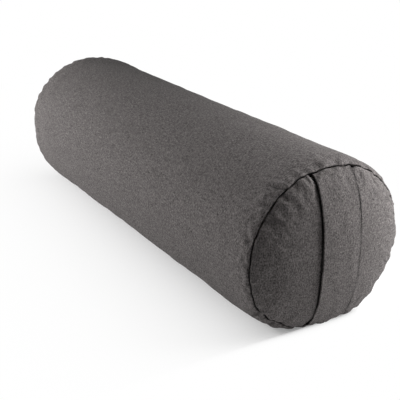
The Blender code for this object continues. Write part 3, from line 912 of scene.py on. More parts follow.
def plain_weave_group() -> bpy.types.NodeTree:
    """Threads over and under each other, with uneven yarn, heathered colour and painted shade in the weave's hollows.

    Returns:
        The group. Its Vector is a place on the flat cloth in metres.
    """
    tree, shade, entry, out = shader_group(
        "plain_weave",
        {
            "Vector": (VECTOR, None),
            "Colour": (COLOUR, (0.1, 0.1, 0.1, 1)),
            "Pitch": (FLOAT, 0.0006),
            "Heather": (FLOAT, 0.3),
            "Slub": (FLOAT, 0.3),
            "Blotch": (FLOAT, 0.05),
            "Worn": (FLOAT, 0.0),
        },
        {"Colour": COLOUR, "Height": FLOAT, "Roughness": FLOAT},
    )
    parts = shade.node("ShaderNodeSeparateXYZ", {0: entry["Vector"]}).outputs
    u = shade.math("DIVIDE", parts[0], entry["Pitch"])
    v = shade.math("DIVIDE", parts[1], entry["Pitch"])

    def thread(number: object, across: object, along: object, sign: float) -> bpy.types.NodeSocket:
        """Height of the threads that run one way."""
        parity = shade.math("MULTIPLY_ADD", shade.math("FLOORED_MODULO", number, 2.0), -2.0, 1.0)
        wave = shade.math("SINE", shade.math("MULTIPLY", along, math.pi))
        lift = shade.math("MULTIPLY_ADD", shade.math("MULTIPLY", wave, parity), 0.4 * sign, 0.6)
        body = shade.math("ABSOLUTE", shade.math("SINE", shade.math("MULTIPLY", across, math.pi)))
        return shade.math("MULTIPLY", shade.math("POWER", body, 0.6), lift)

    def drift(across: object, along: object, seed: float) -> bpy.types.NodeSocket:
        """Uneven colour, as noise at places given in its own periods, from about -1 to 1."""
        return shade.math("MULTIPLY_ADD", shade.noise(shade.vector(across, along, seed), 1.0, 3.0, 0.6), 4.0, -2.0)

    def yarn(number: object, along: object, seed: float) -> bpy.types.NodeSocket:
        """Tone of each thread, unlike its neighbours' and drifting along it."""
        return drift(shade.math("MULTIPLY", number, 7.31), shade.math("DIVIDE", along, YARN_DRIFT), seed)

    column = shade.math("FLOOR", u)
    row = shade.math("FLOOR", v)
    warp = thread(column, u, v, 1.0)
    weft = thread(row, v, u, -1.0)
    height = shade.math("MAXIMUM", warp, weft)
    warp_tone = yarn(column, parts[1], 3.0)
    weft_tone = shade.math("MULTIPLY", yarn(row, parts[0], 11.0), 0.7)
    over = shade.math("GREATER_THAN", warp, weft)
    own = shade.math("MULTIPLY_ADD", shade.math("SUBTRACT", warp_tone, weft_tone), over, weft_tone)
    fleck = drift(
        shade.math("DIVIDE", parts[0], FLECK_SIZE[0]), shade.math("DIVIDE", parts[1], FLECK_SIZE[1]), 23.0
    )
    both = shade.math("MULTIPLY_ADD", fleck, 0.75, own)
    blotch = shade.math("MULTIPLY_ADD", shade.noise(entry["Vector"], 38.0, 3.0), 4.0, -2.0)
    factor = shade.math("MULTIPLY_ADD", both, entry["Heather"], 1.0)
    factor = shade.math("MULTIPLY_ADD", blotch, entry["Blotch"], factor)
    # painted shade: darker where the weave is low, lighter where it is high
    factor = shade.math("MULTIPLY_ADD", shade.math("SUBTRACT", height, 0.65), entry["Slub"], factor)
    # rubbed: lighter where the cloth is rubbed, and darker where shade is painted on, below 0
    rubbed = shade.math("MAXIMUM", shade.math("MULTIPLY_ADD", entry["Worn"], 0.45, 1.0), 0.06)
    factor = shade.math("MULTIPLY", shade.math("MAXIMUM", factor, 0.3), rubbed)
    shade.link(shade.scaled(entry["Colour"], factor), out.inputs["Colour"])
    shade.link(shade.math("MULTIPLY_ADD", both, 0.10, height), out.inputs["Height"])
    shade.link(shade.math("MULTIPLY_ADD", both, 0.02, 0.9), out.inputs["Roughness"])
    return tree


def twisted_strand_group() -> bpy.types.NodeTree:
    """Strands that wind round a thread or wire, along its own length, with painted shade between them.

    Returns:
        The group. Its Vector is (place along the wire, place round it), in metres.
    """
    tree, shade, entry, out = shader_group(
        "twisted_strands",
        {
            "Vector": (VECTOR, None),
            "Colour": (COLOUR, (0.1, 0.1, 0.1, 1)),
            "Twist": (FLOAT, 0.0009),
            "Girth": (FLOAT, 0.0014),
            "Roughness": (FLOAT, 0.7),
            "Uneven": (FLOAT, 0.3),
        },
        {"Colour": COLOUR, "Height": FLOAT, "Roughness": FLOAT},
    )
    parts = shade.node("ShaderNodeSeparateXYZ", {0: entry["Vector"]}).outputs
    wound = shade.math("DIVIDE", parts[1], entry["Girth"])
    turns = shade.math("ADD", shade.math("DIVIDE", parts[0], entry["Twist"]), wound)
    strand = shade.math("ABSOLUTE", shade.math("SINE", shade.math("MULTIPLY", turns, math.pi)))
    uneven = shade.noise(shade.vector(parts[0], parts[1]), 900.0)
    # painted shade: darker in the grooves between the strands
    shaded = shade.math("MULTIPLY_ADD", strand, 0.35, 0.72)
    factor = shade.math("MULTIPLY_ADD", uneven, entry["Uneven"], shaded)
    shade.link(shade.scaled(entry["Colour"], factor), out.inputs["Colour"])
    shade.link(strand, out.inputs["Height"])
    centred = shade.math("MULTIPLY_ADD", uneven, 0.2, -0.1)
    shade.link(shade.math("ADD", centred, entry["Roughness"]), out.inputs["Roughness"])
    return tree


def rubbed_plating_group() -> bpy.types.NodeTree:
    """A thin plating over cast metal, scratched along and rubbed off in patches at its edges.

    Returns:
        The group. Its Edge is 1 on rounded edges and 0 away from them.
    """
    tree, shade, entry, out = shader_group(
        "rubbed_plating",
        {
            "Vector": (VECTOR, None),
            "Edge": (FLOAT, 0.0),
            "Plating": (COLOUR, (0.1, 0.1, 0.1, 1)),
            "Rubbed": (COLOUR, (0.4, 0.4, 0.4, 1)),
            "Roughness": (FLOAT, 0.35),
        },
        {"Colour": COLOUR, "Height": FLOAT, "Roughness": FLOAT},
    )
    along = shade.node("ShaderNodeMapping", {"Vector": entry["Vector"], "Scale": (0.25, 1.0, 1.0)}).outputs[0]
    grain = shade.noise(entry["Vector"], 900.0, 3.0, 0.6)
    scratches = shade.noise(along, 2600.0, 2.0, 0.7)
    patchy = shade.math("MULTIPLY_ADD", grain, 1.6, -0.3)
    marked = shade.math("MAXIMUM", shade.math("MULTIPLY", entry["Edge"], patchy), 0.0)
    marked = shade.math("MINIMUM", marked, 1.0)
    shade.link(shade.mix(marked, entry["Plating"], entry["Rubbed"]), out.inputs["Colour"])
    shade.link(grain, out.inputs["Height"])
    centred = shade.math("MULTIPLY_ADD", scratches, 0.25, -0.12)
    shade.link(shade.math("ADD", centred, entry["Roughness"]), out.inputs["Roughness"])
    return tree


class Finish:
    """What every finish shares: a Principled material with a pattern over it."""

    name: str

    def begun(self) -> tuple[bpy.types.Material, Shade, bpy.types.Node]:
        """A new material, a Shade on it and its Principled shader."""
        material = bpy.data.materials.new(self.name)
        material.use_nodes = True
        return material, Shade(material.node_tree), material.node_tree.nodes["Principled BSDF"]

    def patterned(
        self, shade: Shade, shader: bpy.types.Node, pattern: object, strength: float, relief: float
    ) -> None:
        """Feeds a pattern's colour, roughness and height to the shader.

        Args:
            shade: Adds the nodes.
            shader: The Principled shader.
            pattern: Sockets called Colour, Roughness and Height.
            strength: Of the bump.
            relief: Depth of the bump.
        """
        bump = {"Strength": strength, "Distance": relief, "Height": pattern["Height"]}
        shade.link(pattern["Colour"], shader.inputs["Base Color"])
        shade.link(pattern["Roughness"], shader.inputs["Roughness"])
        shade.link(shade.node("ShaderNodeBump", bump).outputs["Normal"], shader.inputs["Normal"])


@dataclass(frozen=True)
class Cloth(Finish):
    """A woven cotton finish."""

    name: str
    colour: tuple[float, float, float]
    pitch: float = 0.00062
    heather: float = 1.1
    slub: float = 0.25
    blotch: float = 0.04
    relief: float = 0.00010
    gloss: float = 0.02
    sheen: float = 0.03
    sheen_roughness: float = 0.5

    def made(self, weave: bpy.types.NodeTree) -> bpy.types.Material:
        """The material.

        Args:
            weave: The weave's node group.

        Returns:
            A Principled material whose pattern lies on the flat cloth.
        """
        material, shade, shader = self.begun()
        values = {
            "Vector": shade.node("ShaderNodeUVMap", uv_map=UV_NAME).outputs["UV"],
            "Colour": (*self.colour, 1),
            "Pitch": self.pitch,
            "Heather": self.heather,
            "Slub": self.slub,
            "Blotch": self.blotch,
            "Worn": shade.node("ShaderNodeAttribute", attribute_name=WEAR_AND_SHADE_NAME).outputs["Fac"],
        }
        pattern = shade.node("ShaderNodeGroup", values, node_tree=weave).outputs
        self.patterned(shade, shader, pattern, 0.8, self.relief)
        shader.inputs["Specular IOR Level"].default_value = self.gloss
        shader.inputs["Sheen Weight"].default_value = self.sheen
        shader.inputs["Sheen Roughness"].default_value = self.sheen_roughness
        return material


@dataclass(frozen=True)
class Yarn(Finish):
    """A twisted finish for threads and monofilament, along a wire's own length.

    Attributes:
        name: The material's name.
        colour: Its colour.
        roughness: How matt it is.
        twist: Length of one turn of the strands.
        girth: Distance round the thread.
        relief: Depth between the strands.
        uneven: How much its colour varies.
    """

    name: str
    colour: tuple[float, float, float]
    roughness: float = 0.7
    twist: float = 0.0009
    girth: float = 0.0014
    relief: float = 0.00006
    uneven: float = 0.3

    def made(self, strands: bpy.types.NodeTree) -> bpy.types.Material:
        """The material, a Principled one with strands that wind round the wire.

        Args:
            strands: The strands' node group.

        Returns:
            The material.
        """
        material, shade, shader = self.begun()
        values = {
            "Vector": shade.node("ShaderNodeUVMap", uv_map=UV_NAME).outputs["UV"],
            "Colour": (*self.colour, 1),
            "Twist": self.twist,
            "Girth": self.girth,
            "Roughness": self.roughness,
            "Uneven": self.uneven,
        }
        pattern = shade.node("ShaderNodeGroup", values, node_tree=strands).outputs
        self.patterned(shade, shader, pattern, 0.7, self.relief)
        return material


@dataclass(frozen=True)
class PlatedZinc(Finish):
    """Cast zinc under a thin plating that rubs off along its edges."""

    name: str
    colour: tuple[float, float, float]
    rubbed: tuple[float, float, float]
    roughness: float
    metallic: float = 0.9
    relief: float = 0.00003

    def made(self, plating: bpy.types.NodeTree) -> bpy.types.Material:
        """The material, a metallic Principled one with scratches and rubbed edges.

        Args:
            plating: The plating's node group.

        Returns:
            The material.
        """
        material, shade, shader = self.begun()
        values = {
            "Vector": shade.node("ShaderNodeTexCoord").outputs["Object"],
            "Edge": shade.node("ShaderNodeAttribute", attribute_name=WEAR_AND_SHADE_NAME).outputs["Fac"],
            "Plating": (*self.colour, 1),
            "Rubbed": (*self.rubbed, 1),
            "Roughness": self.roughness,
        }
        pattern = shade.node("ShaderNodeGroup", values, node_tree=plating).outputs
        self.patterned(shade, shader, pattern, 0.4, self.relief)
        shader.inputs["Metallic"].default_value = self.metallic
        return material


@dataclass(frozen=True)
class Husks(Finish):
    """Loose grain husks: small, overlapping, curved flakes."""

    name: str
    pale: tuple[float, float, float]
    dark: tuple[float, float, float]
    flake: float = 0.0042
    relief: float = 0.0009

    def made(self) -> bpy.types.Material:
        """The material, with a flake's tone and slope of its own in each cell, and painted shade in the gaps between
        flakes.
        """
        material, shade, shader = self.begun()
        place = shade.node("ShaderNodeTexCoord").outputs["Object"]
        bent = shade.node("ShaderNodeTexNoise", {"Vector": place, "Scale": 140.0, "Detail": 2.0}).outputs[1]
        shifted = shade.node("ShaderNodeVectorMath", {0: bent}, operation="SCALE")
        shifted.inputs["Scale"].default_value = 0.004
        added = shade.node("ShaderNodeVectorMath", {0: place, 1: shifted.outputs[0]}, operation="ADD")
        cells = shade.node(
            "ShaderNodeTexVoronoi", {"Vector": added.outputs[0], "Scale": 1 / self.flake, "Randomness": 1.0}
        ).outputs
        tone = shade.node("ShaderNodeSeparateColor", {0: cells["Color"]}).outputs
        fine = shade.noise(place, 2600.0, 3.0, 0.7)
        share = shade.math("MULTIPLY_ADD", fine, 0.5, shade.math("MULTIPLY", tone[0], 0.8))
        mixed = shade.mix(share, (*self.dark, 1), (*self.pale, 1))
        # painted shade: darker towards the gaps between flakes
        gap_shade = shade.math("MULTIPLY_ADD", cells["Distance"], -0.6, 1.1)
        pattern = {
            "Colour": shade.scaled(mixed, gap_shade),
            "Roughness": shade.math("MULTIPLY_ADD", tone[1], 0.2, 0.7),
            "Height": shade.math("SUBTRACT", shade.math("MULTIPLY", tone[2], 0.6), cells["Distance"]),
        }
        self.patterned(shade, shader, pattern, 1.0, self.relief)
        return material


CHARCOAL_CANVAS = Cloth("charcoal_canvas", (0.1145, 0.1052, 0.1034))
PLAIN_COTTON = Cloth(
    "plain_cotton", (0.72, 0.67, 0.56), pitch=0.0005, heather=0.10, slub=0.16, blotch=0.03, relief=0.00008
)
CHARCOAL_TAPE = Cloth(
    "charcoal_tape", (0.052, 0.048, 0.047), pitch=0.00046, heather=0.08, slub=0.5, relief=0.00012
)
CREAM_TAPE = Cloth(
    "cream_tape", (0.70, 0.65, 0.55), pitch=0.00046, heather=0.06, slub=0.3, relief=0.00012
)
CHARCOAL_NYLON = Yarn("charcoal_nylon", (0.036, 0.034, 0.033), 0.42, relief=0.00001, uneven=0.1)
CREAM_NYLON = Yarn("cream_nylon", (0.66, 0.61, 0.51), 0.42, relief=0.00001, uneven=0.1)
CHARCOAL_THREAD = Yarn("charcoal_thread", (0.085, 0.079, 0.077))
CREAM_THREAD = Yarn("cream_thread", (0.74, 0.70, 0.60))
DARK_ZINC = PlatedZinc("dark_zinc", (0.10, 0.10, 0.105), (0.42, 0.41, 0.39), 0.36)
BRIGHT_ZINC = PlatedZinc("bright_zinc", (0.60, 0.60, 0.59), (0.78, 0.77, 0.74), 0.30)
GRAIN_HUSKS = Husks("grain_husks", (0.60, 0.45, 0.25), (0.30, 0.20, 0.10))


# The zips


@dataclass(frozen=True)
class ZipSizes:
    """Sizes that both zips share: a coil chain of gauge 5 on woven tapes.

    Attributes:
        sewn_gap: Between pieces that are sewn face to face.
        tape_width: Of one tape.
        tape_thickness: Of one tape.
        tape_split: Between the inner edges of the two tapes.
        tape_tail: How far the tapes run on beyond each end of the opening.
        row_width: From the chain's middle line to the outer side of a row.
        head_reach: How far a row's turns reach past the middle line.
        row_height: Of a row, above its tape.
        turn_pitch: From one turn of the coil to the next.
        turn_points: Points round one turn.
        wire_radius: Of the coil's monofilament.
        wire_sides: Sides of the monofilament.
        advance: How much of a turn's advance is made at the row's outer side.
        thread_radius: Of the threads that sew a row to its tape.
        thread_places: Distances of those threads from the middle line.
    """

    sewn_gap: float = 0.0003
    tape_width: float = 0.014
    tape_thickness: float = 0.0008
    tape_split: float = 0.0020
    tape_tail: float = 0.012
    row_width: float = 0.0030
    head_reach: float = 0.00062
    row_height: float = 0.0022
    turn_pitch: float = 0.0014
    turn_points: int = 12
    wire_radius: float = 0.00030
    wire_sides: int = 6
    advance: float = 0.85
    thread_radius: float = 0.00011
    thread_places: tuple[float, ...] = (0.00165, 0.00235)


@dataclass
class ZipLine:
    """Where a zip lies: on a flat strip of the round layer of cloth that it is sewn under.

    In its own frame x runs along the chain, y down across it and z outwards, from the outer side of
    that layer.

    Attributes:
        form: The cover's sizes.
        name: The start of the names of its CAD nodes.
        angle: Of the strip's middle, up from +Y.
        radius: Of the outer side of the layer.
        cloth: Thickness of the layer.
        opening: Length of the opening over the chain.
        pressed: How far the strip is pressed in below the radius.
        facet: Angle that the strip spans.
    """

    form: RestingForm
    name: str
    angle: float
    radius: float
    cloth: float
    opening: float
    pressed: float = 0.0
    facet: float = math.radians(7.5)
    sizes: ZipSizes = ZipSizes()

    def __post_init__(self) -> None:
        """Works out the zip's own frame and the levels of its layers."""
        half = self.radius * math.sin(self.facet / 2)
        self.out = min(self.radius * math.cos(self.facet / 2), self.radius - self.pressed)
        sides = np.array((-half, half))
        across = np.array((-math.sin(self.angle), math.cos(self.angle)))
        outwards = np.array((math.cos(self.angle), math.sin(self.angle)))
        edges = np.zeros((2, 3))
        edges[:, 1:] = self.out * outwards + sides[:, None] * across
        low, high = (Vector(point) for point in self.form.placed(edges))
        along = Vector((1, 0, 0))
        down = (low - high).normalized()
        turned = Matrix((along, down, along.cross(down))).transposed().to_4x4()
        self.frame = Matrix.Translation((low + high) / 2) @ turned
        self.tape_top = -self.cloth - self.sizes.sewn_gap
        self.row_bottom = self.tape_top + self.sizes.sewn_gap
        self.row_top = self.row_bottom + self.sizes.row_height

    def to_world(self, places: np.ndarray) -> np.ndarray:
        """Points in the zip's own frame, moved to the world."""
        matrix = np.array(self.frame)
        return places @ matrix[:3, :3].T + matrix[:3, 3]

    def cloth_level(self, across: np.ndarray) -> np.ndarray:
        """Height of the round layer's outer side above the strip, at a distance across it."""
        rise = self.radius - self.out
        level = rise - across * across / (2 * self.radius)
        return np.minimum(level, 0.0) if self.pressed else level


@dataclass
class CoilZip:
    """A zip: two tapes, two rows of coil, the slider and the stops."""

    line: ZipLine
    bodies: dict[str, str]
    finishes: dict[str, bpy.types.Material]
    label: str
    metal_bevel: float = 0.00016

    def tape(self, which: str, sign: float) -> bpy.types.Object:
        """One woven tape, which follows the round cloth over it.

        Args:
            which: The tape's name, as in its CAD node.
            sign: 1 if it lies below the chain, and -1 if above.

        Returns:
            The tape.
        """
        sizes = self.line.sizes
        half = sizes.tape_thickness / 2
        steps = 22
        share = np.linspace(0, 1, steps + 1)
        across = sizes.tape_split / 2 + share * sizes.tape_width
        over = self.line.cloth_level(across) - self.line.cloth - sizes.sewn_gap
        top = np.minimum(self.line.tape_top, over)
        selvedge = np.exp(-(((share - 0.97) / 0.02) ** 2)) + np.exp(-(((share - 0.03) / 0.02) ** 2))
        thin = half * (1 - 0.35 * (1 - np.minimum(selvedge, 1.0)))
        middle = top - half
        ring = np.concatenate((
            np.column_stack((across, middle + thin)), np.column_stack((across, middle - thin))[::-1],
        ))
        lengths = np.hypot(*np.diff(np.vstack((ring, ring[:1])), axis=0).T)
        round_it = np.concatenate(([0.0], np.cumsum(lengths)))
        length = self.line.opening + 2 * sizes.tape_tail
        rows = 60

        def bend(row: np.ndarray, column: np.ndarray) -> tuple:
            """Lays the grid along the chain and round the tape's cross-section."""
            y, z = ring[column % len(ring)].T
            x = length * (row / rows - 0.5)
            places = self.line.to_world(np.column_stack((x, sign * y, z)))
            return places, np.column_stack((round_it[column], x)), np.zeros(len(x))

        mesh = bent_grid(f"{self.label}_tape_{which}", rows, len(ring), bend)
        return self.fitted(new_piece(mesh, self.finishes["tape"]), f"tape_{which}", "tape")

    def chain_ends(self) -> tuple[float, float]:
        """Where the rows start and end along the chain, read from the frame."""
        low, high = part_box(f"{self.line.name}_coil_upper")
        middle = self.line.frame.translation.x
        return low.x - middle, high.x - middle

    def row(self, which: str, sign: float) -> bpy.types.Object:
        """One row of coil turns, with the two threads that sew it down.

        Args:
            which: The row's name, as in its CAD node.
            sign: 1 if it lies below the chain's middle line, and -1 if above.

        Returns:
            The row.
        """
        sizes = self.line.sizes
        start, end = self.chain_ends()
        turns = int((end - start) / sizes.turn_pitch) - 1
        offset = start + sizes.turn_pitch * (0.75 if sign > 0 else 0.25)
        points = turns * sizes.turn_points
        steps = np.arange(points + 1)
        phase = 2 * math.pi * steps / sizes.turn_points
        reach = (sizes.row_width + sizes.head_reach) / 2 - sizes.wire_radius
        rise = sizes.row_height / 2 - sizes.wire_radius - sizes.thread_radius
        middle = (sizes.row_width - sizes.head_reach) / 2
        turned = phase + sizes.advance * np.sin(phase)
        centre = np.column_stack((
            offset + sizes.turn_pitch * turned / (2 * math.pi),
            middle + reach * np.cos(phase),
            self.line.row_bottom + sizes.wire_radius + rise * (1 + np.sin(phase)),
        ))
        rows = [self.wire(centre, phase, sign, sizes.wire_radius, sizes.wire_sides)]
        way = np.arange(turns * 4 + 1)
        along = offset + sizes.turn_pitch * (way / 4)
        over = self.line.row_top - sizes.thread_radius - sizes.wire_radius * 0.5 * (way % 4 == 2)
        for place in sizes.thread_places:
            thread = np.column_stack((along, np.full_like(along, place), over))
            rows.append(self.wire(thread, np.full_like(along, math.pi / 2), sign, sizes.thread_radius, 4))
        mesh = joined_mesh(f"{self.label}_coil_{which}", rows)
        return self.fitted(new_piece(mesh, self.finishes["coil"]), f"coil_{which}", "coil")

    def wire(
        self, centre: np.ndarray, phase: np.ndarray, sign: float, radius: float, sides: int
    ) -> bpy.types.Mesh:
        """A round wire along a line in the zip's own frame.

        Args:
            centre: The points that it follows.
            phase: Angle of each point's outward side, in the plane across the chain.
            sign: -1 if the line is turned over to the upper side of the chain.
            radius: Of the wire.
            sides: How many sides it has.

        Returns:
            The wire's closed mesh, placed in the world.
        """
        flip = np.array((1.0, sign, 1.0))
        aside = np.column_stack((np.zeros_like(phase), np.cos(phase), np.sin(phase)))
        turned = np.array(self.line.frame)[:3, :3]
        return wire_mesh(self.line.to_world(centre * flip), (aside * flip) @ turned.T, radius, sides)

    def metal(self, part: str, name: str) -> bpy.types.Object:
        """A metal part of the zip, as its CAD node but with rounded edges.

        Args:
            part: The rest of the CAD node's name.
            name: The rest of the piece's name.

        Returns:
            The part.
        """
        bm = bmesh.new()
        bm.from_mesh(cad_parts[f"{self.line.name}_{part}"].data)
        bmesh.ops.remove_doubles(bm, verts=bm.verts, dist=WELD)
        bmesh.ops.dissolve_limit(bm, angle_limit=math.radians(2), verts=bm.verts, edges=bm.edges)
        sharp = [
            edge for edge in bm.edges
            if edge.is_manifold and edge.calc_face_angle(0.0) > math.radians(28)
        ]
        bevelled = bmesh.ops.bevel(
            bm,
            geom=sharp,
            offset=self.metal_bevel,
            offset_type="OFFSET",
            affect="EDGES",
            segments=2,
            profile=0.5,
            material=-1,
            clamp_overlap=True,
        )
        marked = bm.verts.layers.float.new(WEAR_AND_SHADE_NAME)
        rounded = set(bevelled["faces"])
        for vert in bm.verts:
            vert[marked] = float(rounded.issuperset(vert.link_faces))
        bmesh.ops.triangulate(bm, faces=[face for face in bm.faces if len(face.verts) > 4])
        mesh = new_mesh(bm, f"{self.label}_{name}")
        mesh.shade_smooth()
        mesh.set_sharp_from_angle(angle=math.radians(40))
        return self.fitted(new_piece(mesh, self.finishes["metal"]), part, "metal")

    def fitted(self, piece: bpy.types.Object, part: str, slot: str) -> bpy.types.Object:
        """A piece that rides on its body in place of its CAD node."""
        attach(piece, self.bodies.get(part, "cover"))
        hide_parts(f"{self.line.name}_{part}")
        return piece

    def build(self) -> None:
        """Builds every piece of the zip."""
        for which, sign in (("upper", -1.0), ("lower", 1.0)):
            report(self.tape(which, sign))
            report(self.row(which, sign))
            report(self.metal(f"top_stop_{which}", f"top_stop_{which}"))
        report(self.metal("bottom_stop", "bottom_stop"))
        for part in self.bodies:
            report(self.metal(part, part))


# The opening and its stitches


@dataclass(frozen=True)
class Hems:
    """The turned edges of cloth beside a zip, with a line of stitches through each.

    Attributes:
        length: Of the opening.
        width: Of the opening.
        allowance: How far the cloth that is turned under reaches from the middle of the opening.
        padding: How much it raises the cloth over it.
        fade: Over what distance that ends.
        stitch_aside: From the middle of the opening to each line of stitches.
        groove: Depth that the stitches draw the cloth in.
        groove_width: Of that groove.
        seam_groove: Depth of the tube's plain seam beyond the opening.
        stitch: Length of one stitch.
        thread: Radius of the thread.
        dip: How far the thread goes under between stitches.
        end_gap: From the opening's ends to the stitches across them.
    """

    length: float
    width: float = 0.012
    allowance: float = 0.0135
    padding: float = 0.00045
    fade: float = 0.004
    stitch_aside: float = 0.0085
    groove: float = 0.00035
    groove_width: float = 0.0008
    seam_groove: float = 0.0009
    stitch: float = 0.0032
    thread: float = 0.00024
    dip: float = 0.0005
    end_gap: float = 0.003

    def columns(self) -> np.ndarray:
        """Distances from the seam at which the mesh is finer."""
        return np.arange(self.width / 2, self.allowance + self.fade, 0.0006)

    def rubbed(self, x: np.ndarray, aside: np.ndarray) -> np.ndarray:
        """How rubbed the folded edges beside the opening are."""
        beside = 1 - smooth_step((np.abs(x) - self.length / 2) / self.fade)
        aside = np.minimum(np.abs(aside), np.abs(2 * math.pi * 0.11 - aside))
        return 0.3 * beside * np.exp(-(((aside - self.width / 2) / 0.001) ** 2))

    def corners(self) -> np.ndarray:
        """Corners of the line of stitches, as (along, aside) points, back to the first one."""
        along, aside = self.length / 2 + self.end_gap, self.stitch_aside
        return np.array(((-along, -aside), (along, -aside), (along, aside), (-along, aside), (-along, -aside)))

    def thread_line(self) -> tuple[np.ndarray, np.ndarray]:
        """Points along the whole thread, as (along, aside), and how far each lies above the cloth."""
        steps = 8
        flat, lift = [], []
        for start, end in zip(self.corners(), self.corners()[1:]):
            count = round(math.hypot(*(end - start)) / self.stitch)
            share = np.arange(count * steps) / (count * steps)
            flat.append(start + share[:, None] * (end - start))
            phase = np.abs(np.sin(math.pi * share * count))
            lift.append(self.thread * 0.8 - self.dip * (1 - phase) ** 3)
        return np.vstack(flat), np.concatenate(lift)


def cut_opening(mesh: bpy.types.Mesh, line: ZipLine, width: float) -> None:
    """Cuts the opening over a zip through both sides of a tube of cloth, and closes its edges.

    Args:
        mesh: The tube's mesh, which is changed.
        line: Where the zip lies.
        width: Of the opening.
    """
    bm = bmesh.new()
    bm.from_mesh(mesh)
    to_own = line.frame.inverted()
    half = Vector((line.opening / 2, width / 2))
    margin = 0.006

    def within(face: bmesh.types.BMFace, spare: float) -> bool:
        """Whether the middle of a face lies in the opening, or so close to it."""
        place = face.calc_center_median()
        if place.y * line.frame.translation.y < 0:
            return False
        own = to_own @ place
        return abs(own.x) < half.x + spare * 3 and abs(own.y) < half.y + spare and own.z > -2 * margin

    faces = [face for face in bm.faces if within(face, margin)]
    edges = {edge for face in faces for edge in face.edges}
    verts = {vert for face in faces for vert in face.verts}
    geometry = [*verts, *edges, *faces]
    for number, reach in enumerate(half):
        normal = line.frame.to_3x3().col[number]
        for side in (-1, 1):
            cut = bmesh.ops.bisect_plane(
                bm,
                geom=geometry,
                dist=WELD,
                plane_co=line.frame.translation + normal * (reach * side),
                plane_no=normal,
            )
            geometry = cut["geom"]
    faces = [item for item in geometry if isinstance(item, bmesh.types.BMFace) and within(item, 0.0)]
    bmesh.ops.delete(bm, geom=faces, context="FACES")
    rim = [edge for edge in bm.edges if edge.is_boundary]
    walls = bmesh.ops.bridge_loops(bm, edges=rim)["faces"]
    uv = bm.loops.layers.uv[UV_NAME]
    new = set(walls)
    for face in walls:
        for corner in face.loops:
            kept = [other for other in corner.vert.link_loops if other.face not in new]
            corner[uv].uv = kept[0][uv].uv if kept else corner[uv].uv
    sharp = [
        edge for edge in {edge for face in walls for edge in face.edges}
        if edge.is_manifold and edge.calc_face_angle(0.0) > math.radians(50)
    ]
    bmesh.ops.bevel(
        bm,
        geom=sharp,
        offset=0.0004,
        affect="EDGES",
        segments=2,
        profile=0.5,
        material=-1,
        clamp_overlap=True,
    )
    bmesh.ops.recalc_face_normals(bm, faces=bm.faces)
    bm.to_mesh(mesh)
    bm.free()
    mesh.shade_smooth()


def topstitching(
    name: str, cover: "Cover", thread: bpy.types.Material
) -> bpy.types.Object:
    """The thread that holds a zip and its hems, through the cloth of a tube.

    Args:
        name: The piece's name.
        cover: The layer that it is sewn through.
        thread: Its material.

    Returns:
        The thread.
    """
    flat, lift = cover.hems.thread_line()
    angle = cover.seam_angle - flat[:, 1] / cover.form.tube_radius
    centre = cover.on_tube(flat[:, 0], angle, lift)
    aside = np.column_stack((np.zeros_like(angle), np.cos(angle), np.sin(angle)))
    made = new_piece(joined_mesh(name, [wire_mesh(centre, aside, cover.hems.thread, 6)]), thread)
    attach(made, "cover")
    return made


# The cover


@dataclass(frozen=True)
class Lane:
    """A strip along which a zip presses the layers in its way flat."""

    angle: float
    depth: float
    half_length: float = 0.232
    fade_end: float = 0.2998

    def pressed(self, points: np.ndarray) -> np.ndarray:
        """Points of a round layer, those beyond the strip's plane brought down to it."""
        fade = 1 - smooth_step((np.abs(points[:, 0]) - self.half_length) / (self.fade_end - self.half_length))
        out = np.array((0.0, math.cos(self.angle), math.sin(self.angle)))
        radius = np.hypot(points[:, 1], points[:, 2])
        too_far = np.maximum(points @ out - (radius - self.depth * fade), 0.0)
        return points - np.where(fade > 0, too_far, 0.0)[:, None] * out


@dataclass(frozen=True)
class LayerNames:
    """What the pieces of a layer are called, and which CAD nodes they stand for."""

    tube: str
    tube_node: str
    front: str
    front_node: str
    back: str
    back_node: str
    slot: str


CANVAS_NAMES = LayerNames(
    "canvas_tube", "cover_tube", "canvas_end_front", "cover_end_front",
    "canvas_end_back", "cover_end_back", "canvas",
)
COTTON_NAMES = LayerNames(
    "cotton_bag_tube", "inner_bag_tube", "cotton_bag_end_front", "inner_bag_end_front",
    "cotton_bag_end_back", "inner_bag_end_back", "calico",
)


